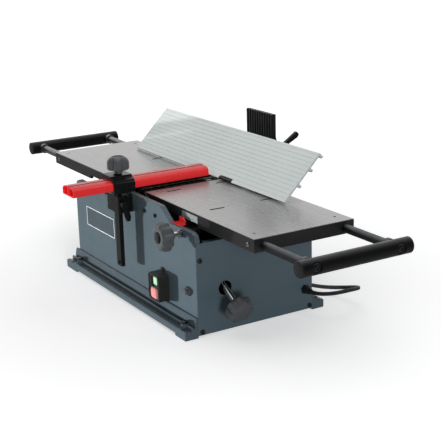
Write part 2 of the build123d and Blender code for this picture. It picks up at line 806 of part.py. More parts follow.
def sector():
    """Slotted quadrant behind the fence, already in its tilted place."""
    axis = along_x(HINGE_Y, HINGE_Z)
    ring = rod(axis, SECTOR_R + 9, 88, 94) - rod(axis, SECTOR_R - 9, 87, 95)
    wedge = []
    for angle in (-22, 39):
        turn = math.radians(angle)
        wedge.append((HINGE_Y + 160 * math.cos(turn), HINGE_Z + 160 * math.sin(turn)))
    ring = ring & prism_yz([(HINGE_Y, HINGE_Z)] + wedge, 86, 96)
    slot = rod(axis, SECTOR_R + 4.3, 86, 96) - rod(axis, SECTOR_R - 4.3, 85, 97)
    wedge = []
    for angle in (LOCK_ANGLE - FENCE_TILT - 0.5, LOCK_ANGLE + 0.5):
        turn = math.radians(angle)
        wedge.append((HINGE_Y + 160 * math.cos(turn), HINGE_Z + 160 * math.sin(turn)))
        cy = HINGE_Y + SECTOR_R * math.cos(turn)
        cz = HINGE_Z + SECTOR_R * math.sin(turn)
        ring -= rod(along_x(cy, cz), 4.3, 86, 96)
    return ring - (slot & prism_yz([(HINGE_Y, HINGE_Z)] + wedge, 86, 96))


def lock_point():
    turn = math.radians(LOCK_ANGLE)
    return HINGE_Y + SECTOR_R * math.cos(turn), HINGE_Z + SECTOR_R * math.sin(turn)


def fence_carriage():
    arm = block(40, 72, HINGE_Y, 152, 227.9, 231.7)
    arm += rod(along_x(HINGE_Y, HINGE_Z), 3.4, 40, 72)
    arm += block(-15, 85, 150, 206, 224.4, 233)
    arm += block(-17, 80, 164, 171, 231, 357)
    for i in range(11):
        x = -15 + 8.9 * i
        arm += block(x, x + 4.0, 161.5, 164, 240, 357)
    for x in (-10, 68):
        arm += prism_yz([(171, 233), (200, 233), (171, 320)], x, x + 6)
    y, z = lock_point()
    arm += prism_yz([(147, 276), (147, 280), (160, 293), (164, 297), (164, 233), (156, 233)], 74, 80)
    arm += rod(along_x(y, z), 9.5, 74, 87.7)
    arm += block(30.3, 39.7, 152, 204, 212, 224.4)
    arm -= rod(along_x(y, z), 4.05, 70, 90)
    arm -= rod(along_z(35, 190), 3.05, 200, 240)
    arm -= rod(along_x(HINGE_Y, HINGE_Z), 1.8, 30, 82)
    return arm


def fence_tilt_lever():
    y, z = lock_point()
    hub = rod(along_x(y, z), 9.0, 94.3, 106)
    hub += rod(along_x(y, z), 4.0, 74.5, 94.3)
    grip = prism_yz([(y - 2, z - 6), (y + 6, z + 4), (y + 52, z + 34), (y + 58, z + 28), (y + 54, z + 22)],
                    97, 104)
    return hub + grip


def fence_slide_lever():
    axis = along_z(35, 190)
    hub = rod(axis, 8.0, 233.3, 246)
    hub += rod(axis, 3.0, 213, 233.3)
    grip = block(31, 39, 190, 244, 238, 245)
    return hub + fillet(grip.edges().filter_by(Axis.Y), 2.5)


def fence_guide():
    body = block(-5, 75, BODY_Y, 215, 200, 224)
    body += block(-5, 75, BODY_Y, 137, 150, 200)
    for x in (0, 64):
        body += prism_yz([(137, 200), (205, 200), (137, 155)], x, x + 6)
    body -= block(30, 40, 140, 216, 210, 225)
    return body


# ------------------------------------------------------------------ supports
def support_tube(x):
    tube = rod(along_y(x, TUBE_Z), TUBE_R, -111.5, 111.5) - rod(along_y(x, TUBE_Z), TUBE_BORE, -120, 120)
    out = 1 if x > 0 else -1
    for side in (-1, 1):
        a, b = sorted((x, x + out * 30))
        tube -= rod(along_x(side * ROD_Y, TUBE_Z), 10.0, a, b)
        a, b = sorted((x, x - out * 30))
        tube -= rod(along_x(side * ROD_Y, TUBE_Z), ROD_R, a, b)
    return tube


def support_rods(x):
    out = 1 if x > 0 else -1
    rods = []
    for side in (-1, 1):
        a, b = sorted((out * 312, x + out * 8))
        bar = rod(along_x(side * ROD_Y, TUBE_Z), ROD_R, a, b)
        a, b = sorted((x - out * (TUBE_R + 0.1), x - out * 24))
        bar += rod(along_x(side * ROD_Y, TUBE_Z), 11.0, a, b)
        a, b = sorted((x - out * 6, x + out * 9))
        rods.append(bar - rod(along_x(side * ROD_Y, TUBE_Z), 3.0, a, b))
    return group(rods)


def support_trim(x):
    """End caps and the two tube screws."""
    out = 1 if x > 0 else -1
    parts = []
    for side in (-1, 1):
        a, b = sorted((side * 111.5, side * TUBE_HALF_L))
        cap = rod(along_y(x, TUBE_Z), TUBE_R, a, b)
        cap = chamfer(cap.edges().filter_by(GeomType.CIRCLE).sort_by(Axis.Y)[0 if side < 0 else -1], 1.0)
        a, b = sorted((side * 103, side * 111.5))
        parts.append(cap + rod(along_y(x, TUBE_Z), TUBE_BORE, a, b))
        a, b = sorted((x + out * 8, x + out * 13))
        c, d = sorted((x - out * 6, x + out * 8))
        e, f = sorted((x + out * 10.5, x + out * 14))
        axis = along_x(side * ROD_Y, TUBE_Z)
        parts.append(rod(axis, 9.0, a, b) + rod(axis, 3.0, c, d) - rod(axis, 3.5, e, f))
    return group(parts)


# -------------------------------------------------------------------- export
def build():
    screws = case_screw_list()
    infeed = table()
    return {
        "front_panel": front_panel(screws),
        "rear_panel": rear_panel(screws),
        "right_end_panel": right_end_panel(screws),
        "left_end_panel": left_end_panel(screws),
        "front_rail": rail(screws),
        "rear_rail": mirrored_y(rail([])) - screws,
        "base_tray": base_tray(),
        "main_frame": main_frame(),
        "outfeed_table": mirrored_x(infeed),
        "case_screws": group(screws),
        "outfeed_clamp_screws": support_clamp_screws(-400),
        "cutterhead_bearings": cutterhead_bearings(),
        "drive_belt": drive_belt(),
        "motor_housing": motor_housing(),
        "motor_stator": motor_stator(),
        "brush_caps": brush_caps(),
        "dust_chute": dust_chute(),
        "switch_housing": switch_housing(),
        "reset_breaker": reset_breaker(),
        "name_plate": name_plate(),
        "depth_pointer": depth_pointer(),
        "guard_bracket": guard_bracket(),
        "fence_guide": fence_guide(),
        "cord_gland": cord_gland(),
        "mains_cord": mains_cord(),
        "mains_cord_coil": mains_cord_coil(),
        "mains_plug": mains_plug(),
        "infeed_table": infeed,
        "infeed_carriage": infeed_carriage(),
        "depth_scale": depth_scale(),
        "infeed_clamp_screws": support_clamp_screws(400),
        "depth_screw": depth_screw(),
        "depth_knob": depth_knob(),
        "lock_screw": lock_screw(),
        "lock_knob": lock_knob(),
        "cutterhead_drum": cutterhead_drum(),
        "cutterhead_knives": cutterhead_knives(),
        "knife_gibs": knife_gibs(),
        "cutterhead_pulley": pulley(0, CUT_Z, CUT_PULLEY_R, JOURNAL_R),
        "motor_rotor": motor_rotor(),
        "motor_pulley": pulley(MOTOR_X, MOTOR_Z, MOTOR_PULLEY_R, 6.0),
        "guard_post": guard_post(),
        "guard_clamp": guard_clamp(),
        "guard_bar": guard_bar(),
        "guard_knob": guard_knob(),
        "guard_lever": guard_lever(),
        "fence_carriage": fence_carriage(),
        "fence_face": fence_face(),
        "fence_bracket": fence_bracket(),
        "fence_tilt_lever": fence_tilt_lever(),
        "fence_slide_lever": fence_slide_lever(),
        "infeed_support_tube": support_tube(INFEED_TUBE_X),
        "infeed_support_rods": support_rods(INFEED_TUBE_X),
        "infeed_support_trim": support_trim(INFEED_TUBE_X),
        "outfeed_support_tube": support_tube(OUTFEED_TUBE_X),
        "outfeed_support_rods": support_rods(OUTFEED_TUBE_X),
        "outfeed_support_trim": support_trim(OUTFEED_TUBE_X),
        "start_button": start_button(),
        "stop_button": stop_button(),
        "reset_button": reset_button(),
    }


def main():
    os.makedirs("parts", exist_ok=True)
    for name, shape in build().items():
        export_step(shape, f"parts/{name}.step")
        print(name, round(shape.volume), len(shape.solids()))


main()
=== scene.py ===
"""Looks of the bench-top surface planer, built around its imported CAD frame. Metres, +Z up."""
import json
import math

import bmesh
import bpy
from mathutils import Matrix, Vector


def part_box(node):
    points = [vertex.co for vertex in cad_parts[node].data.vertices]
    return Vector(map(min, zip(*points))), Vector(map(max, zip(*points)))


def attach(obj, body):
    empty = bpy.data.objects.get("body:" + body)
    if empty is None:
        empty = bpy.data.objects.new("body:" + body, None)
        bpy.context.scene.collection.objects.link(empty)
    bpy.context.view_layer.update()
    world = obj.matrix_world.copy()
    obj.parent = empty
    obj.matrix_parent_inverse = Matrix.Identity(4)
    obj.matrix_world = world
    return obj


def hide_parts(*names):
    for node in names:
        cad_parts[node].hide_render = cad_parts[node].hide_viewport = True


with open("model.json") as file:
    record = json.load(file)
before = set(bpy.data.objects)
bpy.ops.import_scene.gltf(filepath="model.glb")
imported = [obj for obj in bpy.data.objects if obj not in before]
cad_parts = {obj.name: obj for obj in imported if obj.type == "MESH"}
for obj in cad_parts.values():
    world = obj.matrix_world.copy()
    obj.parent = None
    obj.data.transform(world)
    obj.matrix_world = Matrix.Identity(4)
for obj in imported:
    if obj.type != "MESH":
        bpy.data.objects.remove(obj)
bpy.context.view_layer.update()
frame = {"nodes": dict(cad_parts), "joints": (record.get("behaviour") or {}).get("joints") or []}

NODES = frame["nodes"]
JOINTS = {joint["name"]: joint for joint in frame["joints"]}
MM = 0.001
TURN = 2 * math.pi


# ------------------------------------------------------------------- camera
CAMERA_AT = Vector((1.8988, -1.0603, 0.7762))
AZIMUTH, ELEVATION, ROLL = 58.95, 16.31, -1.52
LENS = 89.19


def make_camera():
    a, e, r = (math.radians(v) for v in (AZIMUTH, ELEVATION, ROLL))
    back = Vector((math.sin(a) * math.cos(e), -math.cos(a) * math.cos(e), math.sin(e)))
    side = Vector((0, 0, 1)).cross(back).normalized()
    up = back.cross(side)
    right = math.cos(r) * side + math.sin(r) * up
    top = math.cos(r) * up - math.sin(r) * side
    data = bpy.data.cameras.new("camera")
    data.lens = LENS
    data.clip_start = 0.05
    data.clip_end = 50
    camera = bpy.data.objects.new("camera", data)
    camera.matrix_world = Matrix.Translation(CAMERA_AT) @ Matrix((right, top, back)).transposed().to_4x4()
    bpy.context.scene.collection.objects.link(camera)
    bpy.context.scene.camera = camera


make_camera()


# ---------------------------------------------------------------- materials
class Look:
    """One Principled material and the nodes that drive it. Lengths inside are in metres."""

    def __init__(self, name, rough, metal=0.0, **plain):
        self.material = bpy.data.materials.new(name)
        self.material.use_nodes = True
        self.tree = self.material.node_tree
        self.tree.nodes.clear()
        self.shader = self.node("ShaderNodeBsdfPrincipled")
        out = self.node("ShaderNodeOutputMaterial")
        self.link(self.shader.outputs[0], out.inputs[0])
        self.shader.inputs["Roughness"].default_value = rough
        self.shader.inputs["Metallic"].default_value = metal
        for socket, value in plain.items():
            self.shader.inputs[socket.replace("_", " ")].default_value = value
        self.place = self.node("ShaderNodeTexCoord").outputs["Object"]
        self.height = None

    def rounded(self, radius):
        """Shades sharp edges as if they had this radius; call it before bump."""
        bevel = self.node("ShaderNodeBevel", samples=4)
        bevel.inputs["Radius"].default_value = radius
        self.height = bevel.outputs[0]

    def node(self, kind, **settings):
        made = self.tree.nodes.new(kind)
        for key, value in settings.items():
            setattr(made, key, value)
        return made

    def link(self, a, b):
        self.tree.links.new(a, b)

    def stretched(self, stretch):
        mapping = self.node("ShaderNodeMapping")
        mapping.inputs["Scale"].default_value = stretch
        self.link(self.place, mapping.inputs["Vector"])
        return mapping.outputs[0]

    def noise(self, scale, detail=3.0, rough=0.55, stretch=(1, 1, 1)):
        made = self.node("ShaderNodeTexNoise")
        self.link(self.stretched(stretch), made.inputs["Vector"])
        made.inputs["Scale"].default_value = scale
        made.inputs["Detail"].default_value = detail
        made.inputs["Roughness"].default_value = rough
        return made.outputs[0]

    def cells(self, scale):
        made = self.node("ShaderNodeTexVoronoi")
        self.link(self.place, made.inputs["Vector"])
        made.inputs["Scale"].default_value = scale
        return made.outputs["Distance"]

    def spread(self, value, low, high, to_low, to_high):
        """Maps low..high to the new range, held at its ends."""
        made = self.node("ShaderNodeMapRange")
        self.link(value, made.inputs["Value"])
        for key, number in (("From Min", low), ("From Max", high), ("To Min", to_low), ("To Max", to_high)):
            made.inputs[key].default_value = number
        return made.outputs[0]

    def maths(self, kind, a, b):
        made = self.node("ShaderNodeMath", operation=kind)
        for i, side in enumerate((a, b)):
            if isinstance(side, (int, float)):
                made.inputs[i].default_value = side
            else:
                self.link(side, made.inputs[i])
        return made.outputs[0]

    def mix(self, share, a, b):
        made = self.node("ShaderNodeMix", data_type="RGBA")
        self.link(share, made.inputs[0])
        for socket, side in ((made.inputs[6], a), (made.inputs[7], b)):
            if isinstance(side, (tuple, list)):
                socket.default_value = (*side, 1.0)
            else:
                self.link(side, socket)
        return made.outputs[2]

    def axis_part(self, letter):
        made = self.node("ShaderNodeSeparateXYZ")
        self.link(self.place, made.inputs[0])
        return made.outputs[letter]

    def edges(self, width):
        """1 on sharp edges, 0 on flats."""
        bevel = self.node("ShaderNodeBevel", samples=4)
        bevel.inputs["Radius"].default_value = width
        geometry = self.node("ShaderNodeNewGeometry")
        dot = self.node("ShaderNodeVectorMath", operation="DOT_PRODUCT")
        self.link(bevel.outputs[0], dot.inputs[0])
        self.link(geometry.outputs["Normal"], dot.inputs[1])
        return self.spread(dot.outputs["Value"], 0.80, 0.98, 1.0, 0.0)

    def colour(self, value):
        self.link(value, self.shader.inputs["Base Color"])

    def rough(self, value):
        self.link(value, self.shader.inputs["Roughness"])

    def bump(self, height, distance, strength=1.0):
        made = self.node("ShaderNodeBump")
        self.link(height, made.inputs["Height"])
        made.inputs["Distance"].default_value = distance
        made.inputs["Strength"].default_value = strength
        if self.height is not None:
            self.link(self.height, made.inputs["Normal"])
        self.height = made.outputs[0]
        self.link(self.height, self.shader.inputs["Normal"])


def shade(colour, factor):
    return tuple(min(1.0, c * factor) for c in colour)


def powder_coat(name, colour, rough=0.42, worn=(0.30, 0.31, 0.32), wear=0.5, peel=0.00008, edge=0.0015,
                shine=0.45, **plain):
    """Baked powder coat: cloudy tone, orange peel, rubbed edges, a little dust."""
    look = Look(name, rough, Specular_IOR_Level=shine, **plain)
    look.rounded(edge)
    tone = look.mix(look.noise(14, 4), shade(colour, 0.90), shade(colour, 1.10))
    fleck = look.spread(look.noise(1500, 1), 0.60, 0.74, 0.0, 0.5)
    tone = look.mix(fleck, tone, shade(colour, 1.5))
    rubbed = look.maths("MULTIPLY", look.edges(0.0009), look.spread(look.noise(60, 5), 0.45, 0.65, 0.0, wear))
    look.colour(look.mix(rubbed, tone, worn))
    look.rough(look.spread(look.noise(35, 5), 0.3, 0.7, rough - 0.07, rough + 0.10))
    look.bump(look.noise(700, 2), peel)
    return look.material


def ground_table(name, table_top):
    """Ground table: satin top with lengthwise grinding lines, near-black coated casting below."""
    look = Look(name, 0.3, Specular_IOR_Level=0.6)
    top = look.spread(look.axis_part("Z"), table_top - 0.0009, table_top - 0.0002, 0.0, 1.0)
    lines = look.noise(90, 4, stretch=(0.04, 14, 1))
    cloud = look.noise(9, 4)
    metal = look.mix(lines, (0.374, 0.371, 0.366), (0.386, 0.383, 0.378))
    metal = look.mix(look.spread(cloud, 0.35, 0.7, 0.0, 0.35), metal, (0.35, 0.345, 0.34))
    fleck = look.spread(look.noise(420, 2), 0.68, 0.78, 0.0, 0.16)
    metal = look.mix(fleck, metal, (0.22, 0.22, 0.22))
    coat = look.mix(look.noise(20, 4), (0.010, 0.010, 0.011), (0.017, 0.017, 0.018))
    rubbed = look.maths("MULTIPLY", look.edges(0.0008), look.spread(look.noise(70, 4), 0.45, 0.62, 0.0, 0.6))
    coat = look.mix(rubbed, coat, (0.14, 0.145, 0.15))
    look.colour(look.mix(top, coat, metal))
    smooth = look.spread(look.noise(40, 4, stretch=(0.1, 3, 1)), 0.3, 0.7, 0.265, 0.295)
    mixed = look.node("ShaderNodeMix", data_type="FLOAT")
    look.link(top, mixed.inputs[0])
    mixed.inputs[2].default_value = 0.48
    look.link(smooth, mixed.inputs[3])
    look.rough(mixed.outputs[0])
    look.link(look.spread(top, 0.0, 1.0, 0.0, 0.45), look.shader.inputs["Metallic"])
    look.bump(lines, 0.0000015)
    return look.material


def bare_metal(name, colour, rough=0.30, lines=(1, 1, 1), scale=400, dirt=0.5, depth=0.00002):
    """Turned, ground or cast bare metal with tool marks and a few dull patches."""
    look = Look(name, rough, metal=1.0)
    marks = look.noise(scale, 3, stretch=lines)
    tone = look.mix(marks, shade(colour, 0.88), shade(colour, 1.08))
    patch = look.spread(look.noise(45, 5), 0.52, 0.72, 0.0, dirt)
    look.colour(look.mix(patch, tone, shade(colour, 0.55)))
    look.rough(look.spread(look.noise(120, 4), 0.3, 0.7, rough - 0.08, rough + 0.12))
    look.bump(marks, depth)
    return look.material


def moulded(name, colour, rough=0.45, grain=900, depth=0.00006, wear=0.35, gloss=0.0):
    """Moulded plastic with spark texture, soft sheen changes and scuffed edges."""
    look = Look(name, rough, Specular_IOR_Level=0.45, Coat_Weight=gloss, Coat_Roughness=0.15)
    look.rounded(0.0012)
    tone = look.mix(look.noise(25, 4), shade(colour, 0.85), shade(colour, 1.18))
    scuff = look.maths("MULTIPLY", look.edges(0.0007), look.spread(look.noise(90, 4), 0.42, 0.62, 0.0, wear))
    pale = tuple(0.5 * c + 0.12 for c in colour)
    look.colour(look.mix(scuff, tone, pale))
    look.rough(look.spread(look.noise(60, 5), 0.3, 0.7, rough - 0.06, rough + 0.09))
    look.bump(look.noise(grain, 2), depth)
    return look.material


def anodised_fence(name):
    """Extruded fence with a pale grey-green satin skin, drawn lines lengthwise."""
    look = Look(name, 0.42, metal=0.35, Specular_IOR_Level=0.5)
    drawn = look.noise(60, 4, stretch=(0.03, 16, 16))
    tone = look.mix(drawn, (0.80, 0.86, 0.84), (0.88, 0.94, 0.92))
    tone = look.mix(look.spread(look.noise(7, 4), 0.35, 0.7, 0.0, 0.4), tone, (0.74, 0.80, 0.78))
    look.colour(tone)
    look.rough(look.spread(drawn, 0.3, 0.7, 0.34, 0.50))
    look.bump(drawn, 0.00003)
    return look.material


def rubber(name, colour=(0.022, 0.022, 0.023), rough=0.55):
    """PVC or rubber sheath: dull, faintly mottled, dusty."""
    look = Look(name, rough, Specular_IOR_Level=0.4)
    tone = look.mix(look.noise(80, 4), shade(colour, 0.8), shade(colour, 1.5))
    dust = look.spread(look.noise(30, 5), 0.55, 0.75, 0.0, 0.35)
    look.colour(look.mix(dust, tone, (0.07, 0.07, 0.068)))
    look.rough(look.spread(look.noise(200, 3), 0.3, 0.7, rough - 0.08, rough + 0.08))
    look.bump(look.noise(1800, 2), 0.00004)
    return look.material


def laminated(name):
    """Stacked core plates with lacquered copper tone between them."""
    look = Look(name, 0.45, metal=0.7)
    wave = look.node("ShaderNodeTexWave", bands_direction="Y")
    look.link(look.place, wave.inputs["Vector"])
    wave.inputs["Scale"].default_value = 220
    wave.inputs["Distortion"].default_value = 0.3
    look.colour(look.mix(wave.outputs[1], (0.20, 0.13, 0.09), (0.34, 0.30, 0.27)))
    look.rough(look.spread(look.noise(90, 3), 0.3, 0.7, 0.35, 0.55))
    look.bump(wave.outputs[1], 0.0001)
    return look.material


SLATE = (0.084, 0.118, 0.138)
PANEL = powder_coat("panel_paint", SLATE, edge=0.0028)
RAIL = powder_coat("rail_paint", shade(SLATE, 0.85), rough=0.36, wear=0.6)
PLATE_PAINT = powder_coat("plate_paint", shade(SLATE, 0.70), rough=0.40, peel=0.00004)
WHITE_PRINT = powder_coat("white_print", (0.74, 0.76, 0.77), rough=0.40, wear=0.1, peel=0.00002, edge=0.0001)
BLACK_PAINT = powder_coat("black_paint", (0.006, 0.006, 0.0065), rough=0.30, worn=(0.08, 0.08, 0.08),
                           wear=0.5, shine=0.28)
BLACK_CAST = powder_coat("black_casting", (0.010, 0.010, 0.011), rough=0.42, worn=(0.07, 0.07, 0.07),
                         wear=0.6, peel=0.0002)
RED = powder_coat("red_anodised", (0.90, 0.032, 0.034), rough=0.30, worn=(0.85, 0.30, 0.28), wear=0.5,
                  peel=0.00003, edge=0.0012)
TABLE = ground_table("ground_table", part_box("infeed_table")[1].z)
STEEL = bare_metal("turned_steel", (0.62, 0.61, 0.59), 0.24)
DARK_STEEL = bare_metal("black_oxide", (0.10, 0.10, 0.105), 0.30)
ROD_STEEL = bare_metal("dark_rod", (0.085, 0.088, 0.094), 0.40)
GREY_STEEL = bare_metal("grey_rod", (0.22, 0.22, 0.225), 0.34)
CASTING = bare_metal("cast_alloy", (0.50, 0.50, 0.50), 0.48, scale=250, depth=0.00015)
# Painted shade: a darkened copy of the cast alloy for the parts that sit in shade inside the machine.
SHADED_CAST = bare_metal("cast_alloy_painted_shade", (0.070, 0.071, 0.074), 0.50, scale=250, depth=0.00015)
PLATE = powder_coat("scale_plate", (0.27, 0.30, 0.295), rough=0.45, wear=0.3, peel=0.00003, edge=0.0003)
BRASS = bare_metal("plated_brass", (0.66, 0.60, 0.45), 0.22)
PLASTIC = moulded("black_plastic", (0.008, 0.008, 0.0085), rough=0.40)
HOUSING = moulded("housing_plastic", (0.022, 0.021, 0.020), rough=0.36, wear=0.3)
KNOB_PLASTIC = moulded("knob_plastic", (0.090, 0.094, 0.100), rough=0.42, wear=0.5)
GREEN = moulded("green_plastic", (0.52, 0.88, 0.55), rough=0.28, grain=300, wear=0.2, gloss=0.4)
SIGNAL_RED = moulded("red_plastic", (0.92, 0.32, 0.30), rough=0.26, grain=300, wear=0.3, gloss=0.4)
FENCE = anodised_fence("fence_skin")
RUBBER = rubber("cord_sheath")
BELT = rubber("belt_rubber", (0.015, 0.015, 0.015), 0.7)
CORE = laminated("motor_core")

CAD_LOOKS = {
    PANEL: ["front_panel", "rear_panel", "right_end_panel", "left_end_panel", "base_tray"],
    PLATE_PAINT: ["name_plate"],
    RAIL: ["front_rail", "rear_rail"],
    BLACK_PAINT: ["guard_bracket", "guard_post", "guard_clamp", "guard_lever", "fence_bracket",
                  "fence_tilt_lever", "fence_slide_lever", "infeed_support_tube", "outfeed_support_tube"],
    BLACK_CAST: ["fence_guide", "fence_carriage"],
    TABLE: ["infeed_table", "outfeed_table"],
    # The frame, carriage and drum inside the machine take the darkened cast alloy (painted shade).
    SHADED_CAST: ["main_frame", "infeed_carriage", "cutterhead_drum"],
    CASTING: ["motor_housing", "cutterhead_pulley", "motor_pulley"],
    STEEL: ["outfeed_clamp_screws", "infeed_clamp_screws", "cutterhead_bearings", "depth_screw", "lock_screw",
            "cutterhead_knives", "motor_rotor"],
    DARK_STEEL: ["case_screws", "knife_gibs"],
    ROD_STEEL: ["infeed_support_rods"],
    GREY_STEEL: ["outfeed_support_rods"],
    HOUSING: ["switch_housing"],
    PLATE: ["depth_scale"],
    RED: ["guard_bar", "depth_pointer"],
    FENCE: ["fence_face"],
    GREEN: ["start_button"],
    SIGNAL_RED: ["stop_button"],
    CORE: ["motor_stator"],
    BELT: ["drive_belt"],
    KNOB_PLASTIC: ["depth_knob", "lock_knob", "guard_knob", "reset_breaker", "reset_button"],
    PLASTIC: ["brush_caps", "dust_chute", "cord_gland", "mains_plug", "infeed_support_trim",
              "outfeed_support_trim", "mains_cord", "mains_cord_coil"],
}


def dress(thing, material):
    thing.data.materials.clear()
    thing.data.materials.append(material)


def dress_cad():
    for material, names in CAD_LOOKS.items():
        for name in names:
            dress(NODES[name], material)


dress_cad()


# ------------------------------------------------------------ mesh building
def add_piece(name, mesh, material, body, replaces=(), angle=35):
    """Puts a finished mesh in the scene, shaded smooth between sharp edges, on its CAD body."""
    bm = bmesh.new()
    bm.from_mesh(mesh)
    bmesh.ops.remove_doubles(bm, verts=bm.verts, dist=0.000002)
    bmesh.ops.recalc_face_normals(bm, faces=bm.faces)
    bm.to_mesh(mesh)
    bm.free()
    mesh.shade_smooth()
    mesh.set_sharp_from_angle(angle=math.radians(angle))
    thing = bpy.data.objects.new(name, mesh)
    bpy.context.scene.collection.objects.link(thing)
    dress(thing, material)
    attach(thing, body)
    if replaces:
        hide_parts(*replaces)
    return thing


def mesh_from(bm, name):
    mesh = bpy.data.meshes.new(name)
    bm.to_mesh(mesh)
    bm.free()
    return mesh


def plain_round(radius):
    return lambda turn: radius


def hexagon(across):
    """Radius of a hexagon with that corner radius."""
    flat = math.cos(math.pi / 6)
    return lambda turn: across * flat / math.cos((turn % (math.pi / 3)) - math.pi / 6)


def fluted(radius, depth, lobes, sharp=1.0):
    """Round with scooped flutes; a larger sharp makes them narrower."""
    return lambda turn: radius - depth * (0.5 - 0.5 * math.cos(lobes * turn)) ** sharp


def turned(bm, origin, axis, stations, steps=48):
    """Closed body of rings along an axis. Stations are (distance, radius function of the turn), in metres."""
    along = Vector(axis).normalized()
    u = along.orthogonal().normalized()
    v = along.cross(u)
    rings = []
    for distance, radius in stations:
        centre = Vector(origin) + along * distance
        ring = []
        for i in range(steps):
            turn = TURN * i / steps
            r = radius(turn)
            ring.append(bm.verts.new(centre + u * (r * math.cos(turn)) + v * (r * math.sin(turn))))
        rings.append(ring)
    for a, b in zip(rings, rings[1:]):
        for i in range(steps):
            j = (i + 1) % steps
            bm.faces.new((a[i], a[j], b[j], b[i]))
    for ring, (distance, _) in ((rings[0], stations[0]), (rings[-1], stations[-1])):
        centre = bm.verts.new(Vector(origin) + along * distance)
        for i in range(steps):
            bm.faces.new((ring[i], ring[(i + 1) % steps], centre))


def rounded_rectangle(half_w, half_h, radius, steps=6):
    """Corner-rounded outline, counter-clockwise, as (u, v) pairs."""
    outline = []
    for k, (su, sv) in enumerate(((1, 1), (-1, 1), (-1, -1), (1, -1))):
        cu, cv = su * (half_w - radius), sv * (half_h - radius)
        for i in range(steps + 1):
            turn = math.radians(90 * k + 90 * i / steps)
            outline.append((cu + radius * math.cos(turn), cv + radius * math.sin(turn)))
    return outline


def lofted(bm, rings, cap_start=True, cap_end=True):
    """Skin through rings of equal numbers of points."""
    made = [[bm.verts.new(p) for p in ring] for ring in rings]
    count = len(made[0])
    for a, b in zip(made, made[1:]):
        for i in range(count):
            j = (i + 1) % count
            bm.faces.new((a[i], a[j], b[j], b[i]))
    if cap_start:
        bm.faces.new(made[0])
    if cap_end:
        bm.faces.new(made[-1])


def solids_in(node):
    """Boxes of the separate solids of a grouped CAD node."""
    mesh = NODES[node].data
    keys = [tuple(round(c, 5) for c in v.co) for v in mesh.vertices]
    parent = {k: k for k in keys}

    def root(k):
        while parent[k] != k:
            parent[k] = parent[parent[k]]
            k = parent[k]
        return k

    for face in mesh.polygons:
        first = root(keys[face.vertices[0]])
        for index in face.vertices[1:]:
            parent[root(keys[index])] = first
    found = {}
    for k in set(keys):
        found.setdefault(root(k), []).append(k)
    boxes = []
    for points in found.values():
        low = Vector(min(p[i] for p in points) for i in range(3))
        high = Vector(max(p[i] for p in points) for i in range(3))
        boxes.append((low, high))
    return sorted(boxes, key=lambda pair: tuple(pair[0]))


# ------------------------------------------------------------- knob meshes
def axis_of(joint):
    """A point on the joint's axis and the axis itself."""
    made = JOINTS[joint]
    return Vector(made["pos_m"]), Vector(made["axis"])


def millimetres(stations):
    """Stations in mm: (distance, radius) if plain, or (distance, radius, depth, lobes, sharp)."""
    made = []
    for distance, radius, *flutes in stations:
        if flutes:
            depth, lobes, sharp = flutes
            made.append((distance * MM, fluted(radius * MM, depth * MM, lobes, sharp)))
        else:
            made.append((distance * MM, plain_round(radius * MM)))
    return made


def make_guard_knob():
    """Five-lobed mushroom knob with a dished top, and the bright clamp screw under it."""
    low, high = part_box("guard_knob")
    at = (low.x + 0.0225, (low.y + high.y) / 2, high.z - 0.0337)
    screw = bmesh.new()
    turned(screw, at, (0, 0, 1), millimetres([
        (-9.2, 4.4), (-8.6, 5), (0, 5), (0, 7.4), (0.2, 7.7), (1.3, 7.7), (1.5, 7.4), (1.5, 4.8),
        (3.0, 4.8)]), 40)
    bm = bmesh.new()
    turned(bm, at, (0, 0, 1), millimetres([
        (1.6, 4.9), (1.6, 8.4), (2.0, 9.0), (5.6, 9.0), (6.2, 12.0, 0.8, 5, 2), (6.8, 17.0, 2.6, 5, 2),
        (8.0, 20.6, 4.4, 5, 2), (10.5, 22.2, 5.2, 5, 2), (15.0, 22.5, 5.6, 5, 2), (22.0, 22.4, 5.6, 5, 2),
        (26.5, 21.4, 5.0, 5, 2), (29.6, 19.2, 3.8, 5, 2), (31.6, 16.6, 2.0, 5, 2), (32.8, 14.0, 0.6, 5, 2),
        (33.4, 12.4), (33.6, 11.4), (33.2, 10.6), (31.8, 9.8), (31.5, 5.0)]), 80)
    add_piece("guard_knob_screw", mesh_from(screw, "guard_knob_screw"), STEEL, "guard_clamp_knob")
    return add_piece("guard_knob_body", mesh_from(bm, "guard_knob_body"), KNOB_PLASTIC, "guard_clamp_knob",
                     ["guard_knob"])


def make_lock_knob():
    """Ten-ribbed barrel knob with a deep round socket in its face."""
    low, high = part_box("lock_knob")
    bm = bmesh.new()
    turned(bm, ((low.x + high.x) / 2, high.y, (low.z + high.z) / 2), (0, -1, 0), millimetres([
        (0, 5.2), (0, 9.4), (0.6, 10.0), (7.8, 10.0), (7.8, 15.0), (8.2, 21.5, 1.8, 10, 1.4),
        (9.4, 25.4, 3.2, 10, 1.4), (11.6, 27.4, 3.8, 10, 1.4), (15.0, 28.0, 4.0, 10, 1.4),
        (22.0, 27.6, 3.9, 10, 1.4), (26.0, 26.2, 3.2, 10, 1.4), (28.8, 23.4, 2.0, 10, 1.4),
        (30.4, 19.8, 0.7, 10, 1.4), (31.0, 17.2),
        (30.9, 12.2), (30.2, 11.2), (22.0, 10.2), (21.8, 5.0)]), 120)
    return add_piece("lock_knob_body", mesh_from(bm, "lock_knob_body"), KNOB_PLASTIC, "table_lock",
                     ["lock_knob"])


